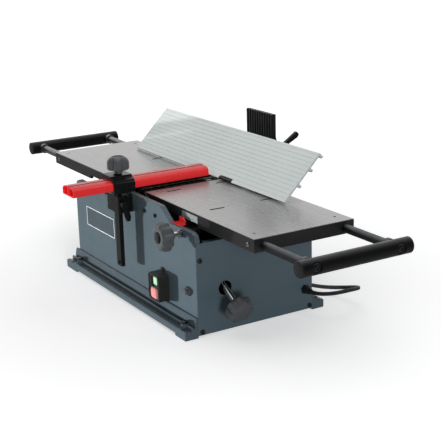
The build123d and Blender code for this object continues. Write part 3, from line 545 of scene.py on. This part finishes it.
def make_depth_knob():
    """Seven-lobed knob, plain outside, with pockets between ribs on its hub side."""
    origin, axis = axis_of("depth_knob_turn")
    bm = bmesh.new()
    turned(bm, origin, axis, millimetres([
        (36.0, 6.1), (36.0, 9.8), (36.6, 10.6), (44.0, 11.4), (53.5, 12.4), (53.5, 19.0), (46.0, 20.2),
        (45.6, 21.8, 1.8, 7, 1.2), (46.2, 25.0, 3.6, 7, 1.2), (48.2, 27.4, 4.8, 7, 1.2),
        (53.0, 28.0, 5.2, 7, 1.2), (60.5, 27.4, 5.0, 7, 1.2), (65.0, 25.6, 4.2, 7, 1.2),
        (67.6, 22.6, 2.9, 7, 1.2), (68.9, 18.6, 1.4, 7, 1.2),
        (69.3, 15.6), (68.9, 15.0), (68.9, 14.0), (69.6, 13.2), (69.9, 11.2), (69.9, 4.0)]), 112)
    u = Vector(axis).orthogonal().normalized()
    v = Vector(axis).cross(u)
    for i in range(7):
        turn = TURN * i / 7
        out = u * math.cos(turn) + v * math.sin(turn)
        side = Vector(axis).cross(out)
        rings = []
        for distance in (0.0462, 0.0540):
            rings.append([origin + axis * distance + out * r + side * w
                          for r, w in ((0.0112, -0.0016), (0.0206, -0.0016), (0.0206, 0.0016),
                                       (0.0112, 0.0016))])
        lofted(bm, rings)
    return add_piece("depth_knob_body", mesh_from(bm, "depth_knob_body"), KNOB_PLASTIC, "depth_control",
                     ["depth_knob"])


# ------------------------------------------------------------- guard meshes
def prism_with_holes(bm, outline, holes, y0, y1):
    """Closed X,Z outline with closed holes in it, pulled along Y."""
    ends = []
    for y in (y0, y1):
        loops = [[bm.verts.new((x * MM, y, z * MM)) for x, z in loop] for loop in (outline, *holes)]
        edges = []
        for loop in loops:
            for a, b in zip(loop, loop[1:] + loop[:1]):
                edges.append(bm.edges.new((a, b)))
        bmesh.ops.triangle_fill(bm, use_beauty=True, use_dissolve=False, edges=edges)
        ends.append(loops)
    for near, far in zip(*ends):
        count = len(near)
        for i in range(count):
            j = (i + 1) % count
            bm.faces.new((near[i], near[j], far[j], far[i]))


BAR_OUTLINE = [(-40.0, 234.4), (-39.1, 233.5), (9.2, 233.5), (11.2, 234.3), (12.0, 236.2), (12.0, 245.6),
               (11.4, 247.6), (9.6, 249.4), (5.6, 251.2), (1.0, 252.6), (-4.4, 253.4), (-6.4, 253.3),
               (-7.0, 252.2), (-8.6, 251.8), (-10.2, 252.2), (-10.8, 253.3), (-13.0, 253.5), (-20.0, 253.4),
               (-29.0, 252.2), (-35.4, 250.2), (-38.8, 247.4), (-40.0, 244.0)]
BAR_CELLS = [[(-37.8, 235.7), (-18.2, 235.7), (-18.2, 251.0), (-20.5, 251.2), (-28.6, 250.0), (-34.2, 248.2),
              (-36.9, 246.0), (-37.8, 243.4)],
             [(-15.8, 235.7), (8.6, 235.7), (9.8, 236.8), (9.8, 245.2), (8.4, 247.4), (4.8, 249.0),
              (0.4, 250.3), (-4.6, 250.9), (-9.0, 249.6), (-13.2, 251.2), (-15.8, 251.2)]]


def bar_paint():
    """The red coat, with painted shade: dark red down in the groove beside the ridge, where shade falls."""
    look = Look("bar_red", 0.30, Specular_IOR_Level=0.45)
    look.rounded(0.0012)
    tone = look.mix(look.noise(14, 4), (0.90, 0.030, 0.032), (0.97, 0.038, 0.040))
    # Painted shade: a mask of the groove beside the ridge, coloured dark red as if in shade.
    x, z = look.axis_part("X"), look.axis_part("Z")
    near = look.maths("MULTIPLY", look.spread(x, -0.0112, -0.0106, 0.0, 1.0),
                      look.spread(x, -0.0070, -0.0064, 1.0, 0.0))
    groove = look.maths("MULTIPLY", near, look.spread(z, 0.2505, 0.2512, 0.0, 1.0))
    rubbed = look.maths("MULTIPLY", look.edges(0.0008), look.spread(look.noise(60, 5), 0.45, 0.65, 0.0, 0.5))
    tone = look.mix(rubbed, tone, (0.85, 0.30, 0.28))
    look.colour(look.mix(groove, tone, (0.16, 0.006, 0.008)))
    look.rough(look.spread(look.noise(35, 5), 0.3, 0.7, 0.24, 0.38))
    look.bump(look.noise(700, 2), 0.00003)
    return look.material


def make_guard_bar():
    """Extruded two-cell bar with a groove beside its ridge."""
    low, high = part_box("guard_bar")
    bm = bmesh.new()
    prism_with_holes(bm, BAR_OUTLINE, BAR_CELLS, low.y, high.y)
    bar = add_piece("guard_bar_extrusion", mesh_from(bm, "guard_bar_extrusion"), bar_paint(), "guard",
                    ["guard_bar"], angle=28)
    return bar


CLAMP_OUTLINE = [(-44.0, 229.3), (-43.7, 229.0), (15.7, 229.0), (16.3, 229.6), (16.3, 238.0), (15.4, 238.8),
                 (15.4, 240.4), (16.6, 241.2), (16.6, 247.0), (15.6, 249.4), (13.2, 250.6), (13.2, 251.8),
                 (12.2, 253.6), (7.6, 255.4),
                 (4.6, 256.2), (3.2, 257.2), (3.0, 261.0), (2.5, 261.5), (-36.5, 261.5), (-37.0, 261.0),
                 (-37.2, 256.0), (-38.4, 254.2), (-42.4, 250.6), (-44.3, 245.6)]
CLAMP_HOLE = [(-40.3, 233.2), (12.3, 233.2), (12.3, 245.9), (9.8, 249.8), (1.2, 252.9), (-6.0, 253.8),
              (-14.0, 253.9), (-29.0, 252.6), (-35.6, 250.6), (-39.2, 247.6), (-40.3, 244.2)]


def make_guard_clamp():
    """Ribbed collar round the bar, its top boss and the block that sits on the post."""
    low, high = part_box("guard_clamp")
    bm = bmesh.new()
    prism_with_holes(bm, CLAMP_OUTLINE, [CLAMP_HOLE], low.y, high.y)
    boss = millimetres([(0, 5.1), (0, 9.2), (1.6, 9.2), (2.0, 8.8), (2.0, 5.1)])
    turned(bm, (-0.014, -0.145, 0.2610), (0, 0, 1), boss, 40)
    return add_piece("guard_clamp_body", mesh_from(bm, "guard_clamp_body"), BLACK_PAINT, "guard_arm",
                     ["guard_clamp"], angle=28)


# ------------------------------------------------------------- cabinet trim
def make_plate_frame():
    """Raised white border of the bare name plate."""
    low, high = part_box("name_plate")
    x, z = (low.x + high.x) / 2, (low.z + high.z) / 2
    outer = [(x / MM + u, z / MM + v) for u, v in rounded_rectangle(67.0, 21.0, 1.6)]
    inner = [(x / MM + u, z / MM + v) for u, v in rounded_rectangle(65.2, 19.2, 0.9)]
    bm = bmesh.new()
    prism_with_holes(bm, outer, [inner], low.y - 0.00015, low.y + 0.0001)
    return add_piece("plate_border", mesh_from(bm, "plate_border"), WHITE_PRINT, "base")


def make_scale_ticks():
    """Printed division lines on the depth scale."""
    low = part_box("depth_scale")[0]
    bm = bmesh.new()
    for i in range(17):
        x = low.x + 0.004 + i * 0.003
        top = low.z + (0.0072 if i % 4 == 0 else 0.0046)
        lofted(bm, [[(x - 0.0002, y, low.z + 0.0012), (x + 0.0002, y, low.z + 0.0012), (x + 0.0002, y, top),
                     (x - 0.0002, y, top)] for y in (low.y - 0.00008, low.y + 0.0001)])
    return add_piece("scale_ticks", mesh_from(bm, "scale_ticks"), PLASTIC, "infeed")


def block_outline(x0, x1, z0, z1, radius):
    """Rounded rectangle in mm between two corners."""
    return [((x0 + x1) / 2 + u, (z0 + z1) / 2 + v)
            for u, v in rounded_rectangle((x1 - x0) / 2, (z1 - z0) / 2, radius, 5)]


def make_switch():
    """Switch body with its wall flange, rimmed face, button wells and fixing lug."""
    low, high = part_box("switch_housing")
    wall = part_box("front_panel")[0].y
    wells = [block_outline(118.7, 143.3, 68.7, 88.3, 3.2), block_outline(117.7, 144.3, 43.2, 66.3, 4.2)]
    stems = [block_outline(121, 141, 70.5, 86.5, 1.0), block_outline(121, 141, 46, 64, 1.0)]
    bm = bmesh.new()
    prism_with_holes(bm, block_outline(110.5, 151.5, 41.0, 92.5, 5.5),
                     [block_outline(112.0, 150.0, 41.6, 91.4, 4.0)], low.y, low.y + 0.0012)
    prism_with_holes(bm, block_outline(109.6, 152.4, 40.1, 93.4, 5.5), wells, low.y + 0.0012, -0.134)
    prism_with_holes(bm, block_outline(109.3, 152.7, 39.8, 93.7, 5.5), stems, -0.134, wall - 0.0022)
    prism_with_holes(bm, block_outline(109.0, 153.0, 39.5, 94.0, 6.0), stems, wall - 0.0022, wall)
    prism_with_holes(bm, block_outline(111.3, 150.7, 42.3, 91.7, 2.0), stems, wall, -0.112)
    prism_with_holes(bm, block_outline(111.3, 150.7, 42.3, 91.7, 2.0), [], -0.112, high.y)
    prism_with_holes(bm, block_outline(124.0, 138.0, 93.0, 103.0, 3.5), [], wall - 0.002, wall)
    turned(bm, (0.131, wall - 0.002, 0.0985), (0, -1, 0), millimetres([
        (0, 1.4), (0, 3.2), (1.2, 3.1), (1.9, 2.3), (2.0, 1.2)]), 24)
    return add_piece("switch_body", mesh_from(bm, "switch_body"), HOUSING, "base",
                     ["switch_housing"])


def cap_screw(bm, origin, out, r, head, shank):
    """Socket-head screw: shank into the panel, chamfered head, hexagonal recess."""
    turned(bm, origin, out, [
        (-shank, plain_round(0.0017)), (-shank + 0.0005, plain_round(0.0022)), (0, plain_round(0.0022)),
        (0, plain_round(r)), (head - 0.0008, plain_round(r)), (head - 0.0002, plain_round(r - 0.0005)),
        (head, plain_round(r - 0.0011)), (head, hexagon(r * 0.56)), (head - 0.0013, hexagon(r * 0.52))], 24)


def make_case_screws():
    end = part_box("right_end_panel")[1].x
    front = -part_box("front_panel")[0].y
    bm = bmesh.new()
    for low, high in solids_in("case_screws"):
        middle = (low + high) / 2
        if high.z - low.z > 0.015:
            cap_screw(bm, (middle.x, middle.y, high.z - 0.005), (0, 0, 1), 0.0055, 0.005, 0.010)
        elif abs(middle.x) > 0.25:
            side = math.copysign(1, middle.x)
            cap_screw(bm, (side * end, middle.y, middle.z), (side, 0, 0), 0.005, 0.0025, 0.0075)
        else:
            side = math.copysign(1, middle.y)
            cap_screw(bm, (middle.x, side * front, middle.z), (0, side, 0), 0.0042, 0.0022, 0.0065)
    return add_piece("cap_screws", mesh_from(bm, "cap_screws"), DARK_STEEL, "base",
                     ["case_screws"])


def make_clamp_screws(node, body):
    """Bright cone-socket set screws in the aprons."""
    bm = bmesh.new()
    for low, high in solids_in(node):
        middle = (low + high) / 2
        side = math.copysign(1, middle.y)
        tip = high.y if side > 0 else -low.y
        root = low.y if side > 0 else -high.y
        turned(bm, (middle.x, side * root, middle.z), (0, side, 0), [
            (0, plain_round(0.0030)), (0.001, plain_round(0.0039)),
            (tip - root - 0.0006, plain_round(0.0040)),
            (tip - root, plain_round(0.0034)), (tip - root, hexagon(0.0022)),
            (tip - root - 0.002, hexagon(0.0021))], 24)
    return add_piece(node + "_turned", mesh_from(bm, node + "_turned"), STEEL, body, [node])


def button(name, low, high, back, dome, radius, material, body, slot, node):
    """Cushion-faced push button with its stem. Sizes from the CAD box of its node."""
    x, z = (low.x + high.x) / 2, (low.z + high.z) / 2
    half_x, half_z = (high.x - low.x) / 2, (high.z - low.z) / 2
    face = low.y
    rings = []
    for y, shrink in ((back, 0.0006), (back - 0.0006, 0.0), (face + dome, 0.0), (face + dome * 0.55, 0.0004),
                      (face + dome * 0.25, 0.0013), (face + dome * 0.08, 0.0030), (face, 0.0056)):
        u, v = half_x - shrink, half_z - shrink
        outline = rounded_rectangle(u, v, min(radius, u * 0.9, v * 0.9), 6)
        rings.append([(x + a, y, z + b) for a, b in outline])
    bm = bmesh.new()
    lofted(bm, rings)
    foot = rounded_rectangle(0.003, 0.003, 0.0008, 3)
    stem = [[(x + a, y, z + b) for a, b in foot] for y in (back, high.y)]
    lofted(bm, stem)
    return add_piece(name, mesh_from(bm, name), material, body, [node], angle=50)


def make_support_trim(side, body):
    """Flat end caps, dished washers and the button-head screws of one end support."""
    name = body + "_trim"
    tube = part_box(body + "_tube")
    centre_x = (tube[0].x + tube[1].x) / 2
    centre_z = (tube[0].z + tube[1].z) / 2
    r = (tube[1].z - tube[0].z) / 2
    trim, bolts = bmesh.new(), bmesh.new()
    for low, high in solids_in(name):
        middle = (low + high) / 2
        way = math.copysign(1, middle.y)
        if abs(middle.y) > 0.1:
            turned(trim, (centre_x, way * 0.103, centre_z), (0, way, 0), [
                (0, plain_round(r - 0.0031)), (0.0085, plain_round(r - 0.0031)), (0.0085, plain_round(r)),
                (0.0098, plain_round(r)), (0.0105, plain_round(r - 0.0005)),
                (0.01075, plain_round(r - 0.0013))], 56)
        else:
            at = (centre_x, middle.y, centre_z)
            turned(trim, at, (side, 0, 0), millimetres([
                (8.0, 3.1), (8.0, 9.0), (12.2, 9.0), (12.9, 8.4), (12.9, 7.2), (11.4, 6.6), (11.2, 3.1)]), 40)
            turned(bolts, at, (side, 0, 0), [
                (-0.006, plain_round(0.003)), (0.0112, plain_round(0.003)), (0.0112, plain_round(0.0058)),
                (0.0124, plain_round(0.0056)), (0.0134, plain_round(0.0042)), (0.0136, plain_round(0.0034)),
                (0.0136, hexagon(0.0030)), (0.0118, hexagon(0.0028))], 36)
    made = add_piece(name + "_caps", mesh_from(trim, name + "_caps"), PLASTIC, body, [name])
    add_piece(name + "_bolts", mesh_from(bolts, name + "_bolts"), DARK_STEEL, body)
    return made


make_guard_knob()
make_lock_knob()
make_depth_knob()
make_guard_bar()
make_guard_clamp()
make_plate_frame()
make_scale_ticks()
make_switch()
make_case_screws()
make_clamp_screws("infeed_clamp_screws", "infeed")
make_clamp_screws("outfeed_clamp_screws", "base")
button("start_cap", *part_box("start_button"), -0.1375, 0.0030, 0.0034, GREEN, "start", "green_plastic",
       "start_button")
button("stop_cap", *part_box("stop_button"), -0.1375, 0.0060, 0.0046, SIGNAL_RED, "stop", "red_plastic",
       "stop_button")
make_support_trim(1, "infeed_support")
make_support_trim(-1, "outfeed_support")


# --------------------------------------------------------------------- cord
CORD_R = 0.004
CORD_ROUTE = [
    (0.281, 0.112, 0.0465), (0.2952, 0.112, 0.0476),
    (0.309, 0.1163, 0.0494), (0.3208, 0.1247, 0.0514),
    (0.3293, 0.1364, 0.0532), (0.3341, 0.1504, 0.0546),
    (0.3349, 0.168, 0.0548), (0.329, 0.1866, 0.0518),
    (0.3156, 0.2022, 0.0464), (0.295, 0.2116, 0.0392),
    (0.269, 0.2135, 0.031), (0.2386, 0.21, 0.0224),
    (0.205, 0.204, 0.0145), (0.168, 0.1985, 0.0084),
    (0.128, 0.1945, 0.0052), (0.082, 0.1915, 0.0046),
    (0.028, 0.1895, 0.0046), (-0.026, 0.19, 0.0046),
]
COIL_R = 0.044
LEAD_IN = 0.060
COIL_PITCH = 0.0082
COIL_OUTER = 0.0522
COIL_STEPS = 16
LAYER_TURNS = 2.0
CLIMB_TURNS = 0.25
LOW_LAYER, HIGH_LAYER = 0.0044, 0.0126


def coil_frame():
    """Centre of the coil and the cord's heading and inward side where it meets it."""
    end, before = Vector(CORD_ROUTE[-1]), Vector(CORD_ROUTE[-2])
    heading = (end - before).to_2d().normalized().to_3d()
    side = Vector((heading.y, -heading.x, 0))
    return end + heading * LEAD_IN + side * COIL_R, heading, side


def coil_point(t):
    """Point on the wound cord after t turns: in along the floor, up, and out again on top."""
    centre, heading, side = coil_frame()
    inner = COIL_OUTER - COIL_PITCH * LAYER_TURNS
    if t < LAYER_TURNS:
        r, z = COIL_OUTER - COIL_PITCH * t, LOW_LAYER
    elif t < LAYER_TURNS + CLIMB_TURNS:
        share = (t - LAYER_TURNS) / CLIMB_TURNS
        r, z = inner, LOW_LAYER + (HIGH_LAYER - LOW_LAYER) * share * share * (3 - 2 * share)
    else:
        r, z = inner + COIL_PITCH * (t - LAYER_TURNS - CLIMB_TURNS), HIGH_LAYER
    point = centre + (heading * math.sin(TURN * t) - side * math.cos(TURN * t)) * r
    return Vector((point.x, point.y, z))


def cord_points():
    """Listed route, then the coil's turns, then the short tail to the plug."""
    points = [Vector(p) for p in CORD_ROUTE]
    turns = 2 * LAYER_TURNS + CLIMB_TURNS
    for i in range(int(turns * COIL_STEPS) + 1):
        points.append(coil_point(i / COIL_STEPS))
    centre = coil_frame()[0]
    for x, y, z in ((-53.5, 9, 12.6), (-58.5, 22, 12.2), (-68, 33, 9.5), (-79, 39.3, 6.2)):
        points.append(Vector((centre.x + x * MM, centre.y + y * MM, z * MM)))
    low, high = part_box("mains_plug")
    points.append(Vector((high.x, (low.y + high.y) / 2, 0.0046)))
    return points


def make_cord():
    data = bpy.data.curves.new("mains_lead", "CURVE")
    data.dimensions = "3D"
    data.resolution_u = 6
    data.bevel_depth = CORD_R
    data.bevel_resolution = 4
    points = cord_points()
    spline = data.splines.new("NURBS")
    spline.points.add(len(points) - 1)
    for place, point in zip(spline.points, points):
        place.co = (*point, 1.0)
    spline.order_u = 3
    spline.use_endpoint_u = True
    lead = bpy.data.objects.new("mains_lead", data)
    bpy.context.scene.collection.objects.link(lead)
    data.materials.append(RUBBER)
    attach(lead, "base")
    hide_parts("mains_cord", "mains_cord_coil")
    return lead


def make_gland():
    """Hex nut and ribbed taper where the cord leaves the end panel."""
    low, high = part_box("cord_gland")
    y, z = (low.y + high.y) / 2, (low.z + high.z) / 2
    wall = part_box("right_end_panel")[1].x
    nut, tip = wall + 0.006, high.x
    bm = bmesh.new()
    stations = [(0, plain_round(0.0057)), (0.008, plain_round(0.0057)), (0.008, hexagon(0.0088)),
                (0.0084, hexagon(0.0095)), (0.0134, hexagon(0.0095)), (0.014, hexagon(0.0088)),
                (0.014, plain_round(0.0079))]
    ribs = 4
    for i in range(ribs):
        near = 0.0145 + (tip - nut) * i / ribs
        r = 0.0079 - 0.0027 * i / ribs
        stations += [(near, plain_round(r)), (near + 0.0019, plain_round(r - 0.0003)),
                     (near + 0.0021, plain_round(r - 0.0012)), (near + 0.0033, plain_round(r - 0.0014))]
    stations += [(tip - wall + 0.0078, plain_round(0.0050)), (tip - wall + 0.008, plain_round(0.0045))]
    turned(bm, (wall - 0.008, y, z), (1, 0, 0), stations, 36)
    return add_piece("gland", mesh_from(bm, "gland"), PLASTIC, "base", ["cord_gland"])


def make_plug():
    """Two-pin plug with a waisted grip, thumb ribs and round pins."""
    low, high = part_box("mains_plug")
    y, back, floor = (low.y + high.y) / 2, high.x, low.z
    middle = floor + 0.010
    pins_from = low.x + 0.019
    bm = bmesh.new()
    rings = []
    length = back - 0.012 - pins_from
    for share, wide, tall in ((0.0, 0.0135, 0.0085), (0.03, 0.0149, 0.0099), (0.30, 0.0150, 0.0100),
                              (0.42, 0.0140, 0.0096), (0.62, 0.0137, 0.0093), (0.86, 0.0128, 0.0090),
                              (1.0, 0.0092, 0.0078)):
        x = pins_from + length * share
        outline = rounded_rectangle(wide, tall, min(wide, tall) * 0.75, 8)
        rings.append([(x, y + u, middle + v) for u, v in outline])
    for share, r in ((0.3, 0.0080), (0.7, 0.0064), (1.0, 0.0048)):
        x = back - 0.012 + 0.012 * share
        drop = -0.0054 * share
        rings.append([(x, y + u, max(middle + drop + v, floor))
                      for u, v in rounded_rectangle(r, r, r * 0.95, 8)])
    lofted(bm, rings)
    for i in range(5):
        x = pins_from + length * (0.45 + 0.09 * i)
        for side in (-1, 1):
            ring = [[(x + dx, y + side * dy, middle + dz) for dx, dz in
                     ((-0.0008, -0.006), (0.0008, -0.006), (0.0008, 0.006), (-0.0008, 0.006))]
                    for dy in (0.0120, 0.0144)]
            lofted(bm, ring)
    body = add_piece("plug_body", mesh_from(bm, "plug_body"), PLASTIC, "base",
                     ["mains_plug"])
    bm = bmesh.new()
    for side in (-1, 1):
        pin_y = y + side * 0.0095
        turned(bm, (pins_from, pin_y, middle), (-1, 0, 0),
               [(0, plain_round(0.0024)), (0.0165, plain_round(0.0024)), (0.018, plain_round(0.0019)),
                (0.0188, plain_round(0.0009))], 20)
    pins = add_piece("plug_pins", mesh_from(bm, "plug_pins"), BRASS, "base")
    return body, pins


lead = make_cord()
make_gland()
plug_body, plug_pins = make_plug()


# ------------------------------------------------------------------- lights
def add_sun(name, travel, strength, spread, colour=(1, 1, 1), mirrored=True):
    data = bpy.data.lights.new(name, "SUN")
    data.energy = strength
    data.angle = math.radians(spread)
    data.color = colour
    lamp = bpy.data.objects.new(name, data)
    lamp.rotation_mode = "QUATERNION"
    lamp.rotation_quaternion = Vector(travel).to_track_quat("-Z", "Y")
    lamp.visible_glossy = mirrored
    bpy.context.scene.collection.objects.link(lamp)


def add_area(name, at, target, width, height, power):
    data = bpy.data.lights.new(name, "AREA")
    data.shape = "RECTANGLE"
    data.size, data.size_y = width, height
    data.energy = power
    lamp = bpy.data.objects.new(name, data)
    lamp.location = at
    lamp.rotation_mode = "QUATERNION"
    lamp.rotation_quaternion = (Vector(target) - Vector(at)).to_track_quat("-Z", "Y")
    bpy.context.scene.collection.objects.link(lamp)


def make_floor():
    """Pale floor whose camera-seen glow fades up to white away from the object; near it the weaker glow
    paints the floor greyer (painted shade) and keeps its real shadow visible.
    """
    bm = bmesh.new()
    bmesh.ops.create_grid(bm, x_segments=8, y_segments=8, size=12)
    mesh = mesh_from(bm, "floor")
    floor = bpy.data.objects.new("floor", mesh)
    bpy.context.scene.collection.objects.link(floor)
    look = Look("floor_paper", 0.85)
    look.colour(look.mix(look.noise(3, 3), (0.83, 0.83, 0.83), (0.86, 0.86, 0.86)))
    glow = look.node("ShaderNodeEmission")
    glow.inputs[0].default_value = (1, 1, 1, 1)
    path = look.node("ShaderNodeLightPath")
    reach = look.node("ShaderNodeVectorMath", operation="LENGTH")
    look.link(look.place, reach.inputs[0])
    # Painted shade: the glow is weakest near the object, so the floor looks greyer around it.
    bright = look.spread(reach.outputs["Value"], 0.30, 1.1, FLOOR_SHADED_NEAR, FLOOR_FAR)
    look.link(look.maths("MULTIPLY", path.outputs["Is Camera Ray"], bright), glow.inputs[1])
    both = look.node("ShaderNodeAddShader")
    look.link(look.shader.outputs[0], both.inputs[0])
    look.link(glow.outputs[0], both.inputs[1])
    out = next(n for n in look.tree.nodes if n.type == "OUTPUT_MATERIAL")
    look.link(both.outputs[0], out.inputs[0])
    dress(floor, look.material)
    floor.visible_shadow = False
    return floor


def make_world():
    """White to the camera, dim fill, and a bright wall behind the machine for reflections."""
    world = bpy.data.worlds.new("studio")
    bpy.context.scene.world = world
    world.use_nodes = True
    tree = world.node_tree
    tree.nodes.clear()
    out = tree.nodes.new("ShaderNodeOutputWorld")

    def background(colour, strength):
        made = tree.nodes.new("ShaderNodeBackground")
        made.inputs[0].default_value = (*colour, 1)
        made.inputs[1].default_value = strength
        return made

    def pick(share, a, b):
        made = tree.nodes.new("ShaderNodeMixShader")
        tree.links.new(share, made.inputs[0])
        tree.links.new(a.outputs[0], made.inputs[1])
        tree.links.new(b.outputs[0], made.inputs[2])
        return made

    path = tree.nodes.new("ShaderNodeLightPath")
    facing = tree.nodes.new("ShaderNodeVectorMath")
    facing.operation = "DOT_PRODUCT"
    tree.links.new(tree.nodes.new("ShaderNodeTexCoord").outputs["Generated"], facing.inputs[0])
    facing.inputs[1].default_value = Vector((-0.80, 0.50, 0.33)).normalized()
    wall = tree.nodes.new("ShaderNodeMapRange")
    tree.links.new(facing.outputs["Value"], wall.inputs["Value"])
    wall.inputs["From Min"].default_value = 0.15
    wall.inputs["From Max"].default_value = 0.75
    reflected = pick(wall.outputs[0], background((0.9, 0.95, 1.0), MIRROR_DIM),
                     background((1, 1, 1), MIRROR_WALL))
    glossy = pick(path.outputs["Is Glossy Ray"], background((0.93, 0.96, 1.0), FILL), reflected)
    seen = pick(path.outputs["Is Camera Ray"], glossy, background((1, 1, 1), 1.0))
    tree.links.new(seen.outputs[0], out.inputs[0])


# The first value dims the floor's glow next to the object (painted shade); the second is the white far away.
FLOOR_SHADED_NEAR, FLOOR_FAR = 0.55, 0.95
FILL = 0.07
MIRROR_DIM = 0.10
MIRROR_WALL = 1.15

make_floor()
make_world()
add_sun("key", (1.75, 1.0, 0.42), 6.4, 2.0, mirrored=False)
add_sun("right", (-0.90, 0.25, -0.10), 1.5, 14, (0.95, 0.98, 1.0), mirrored=False)
add_area("top", (0.2, -0.3, 2.2), (0, 0, 0.2), 2.4, 2.0, 17)
bpy.context.scene.view_settings.view_transform = "Standard"
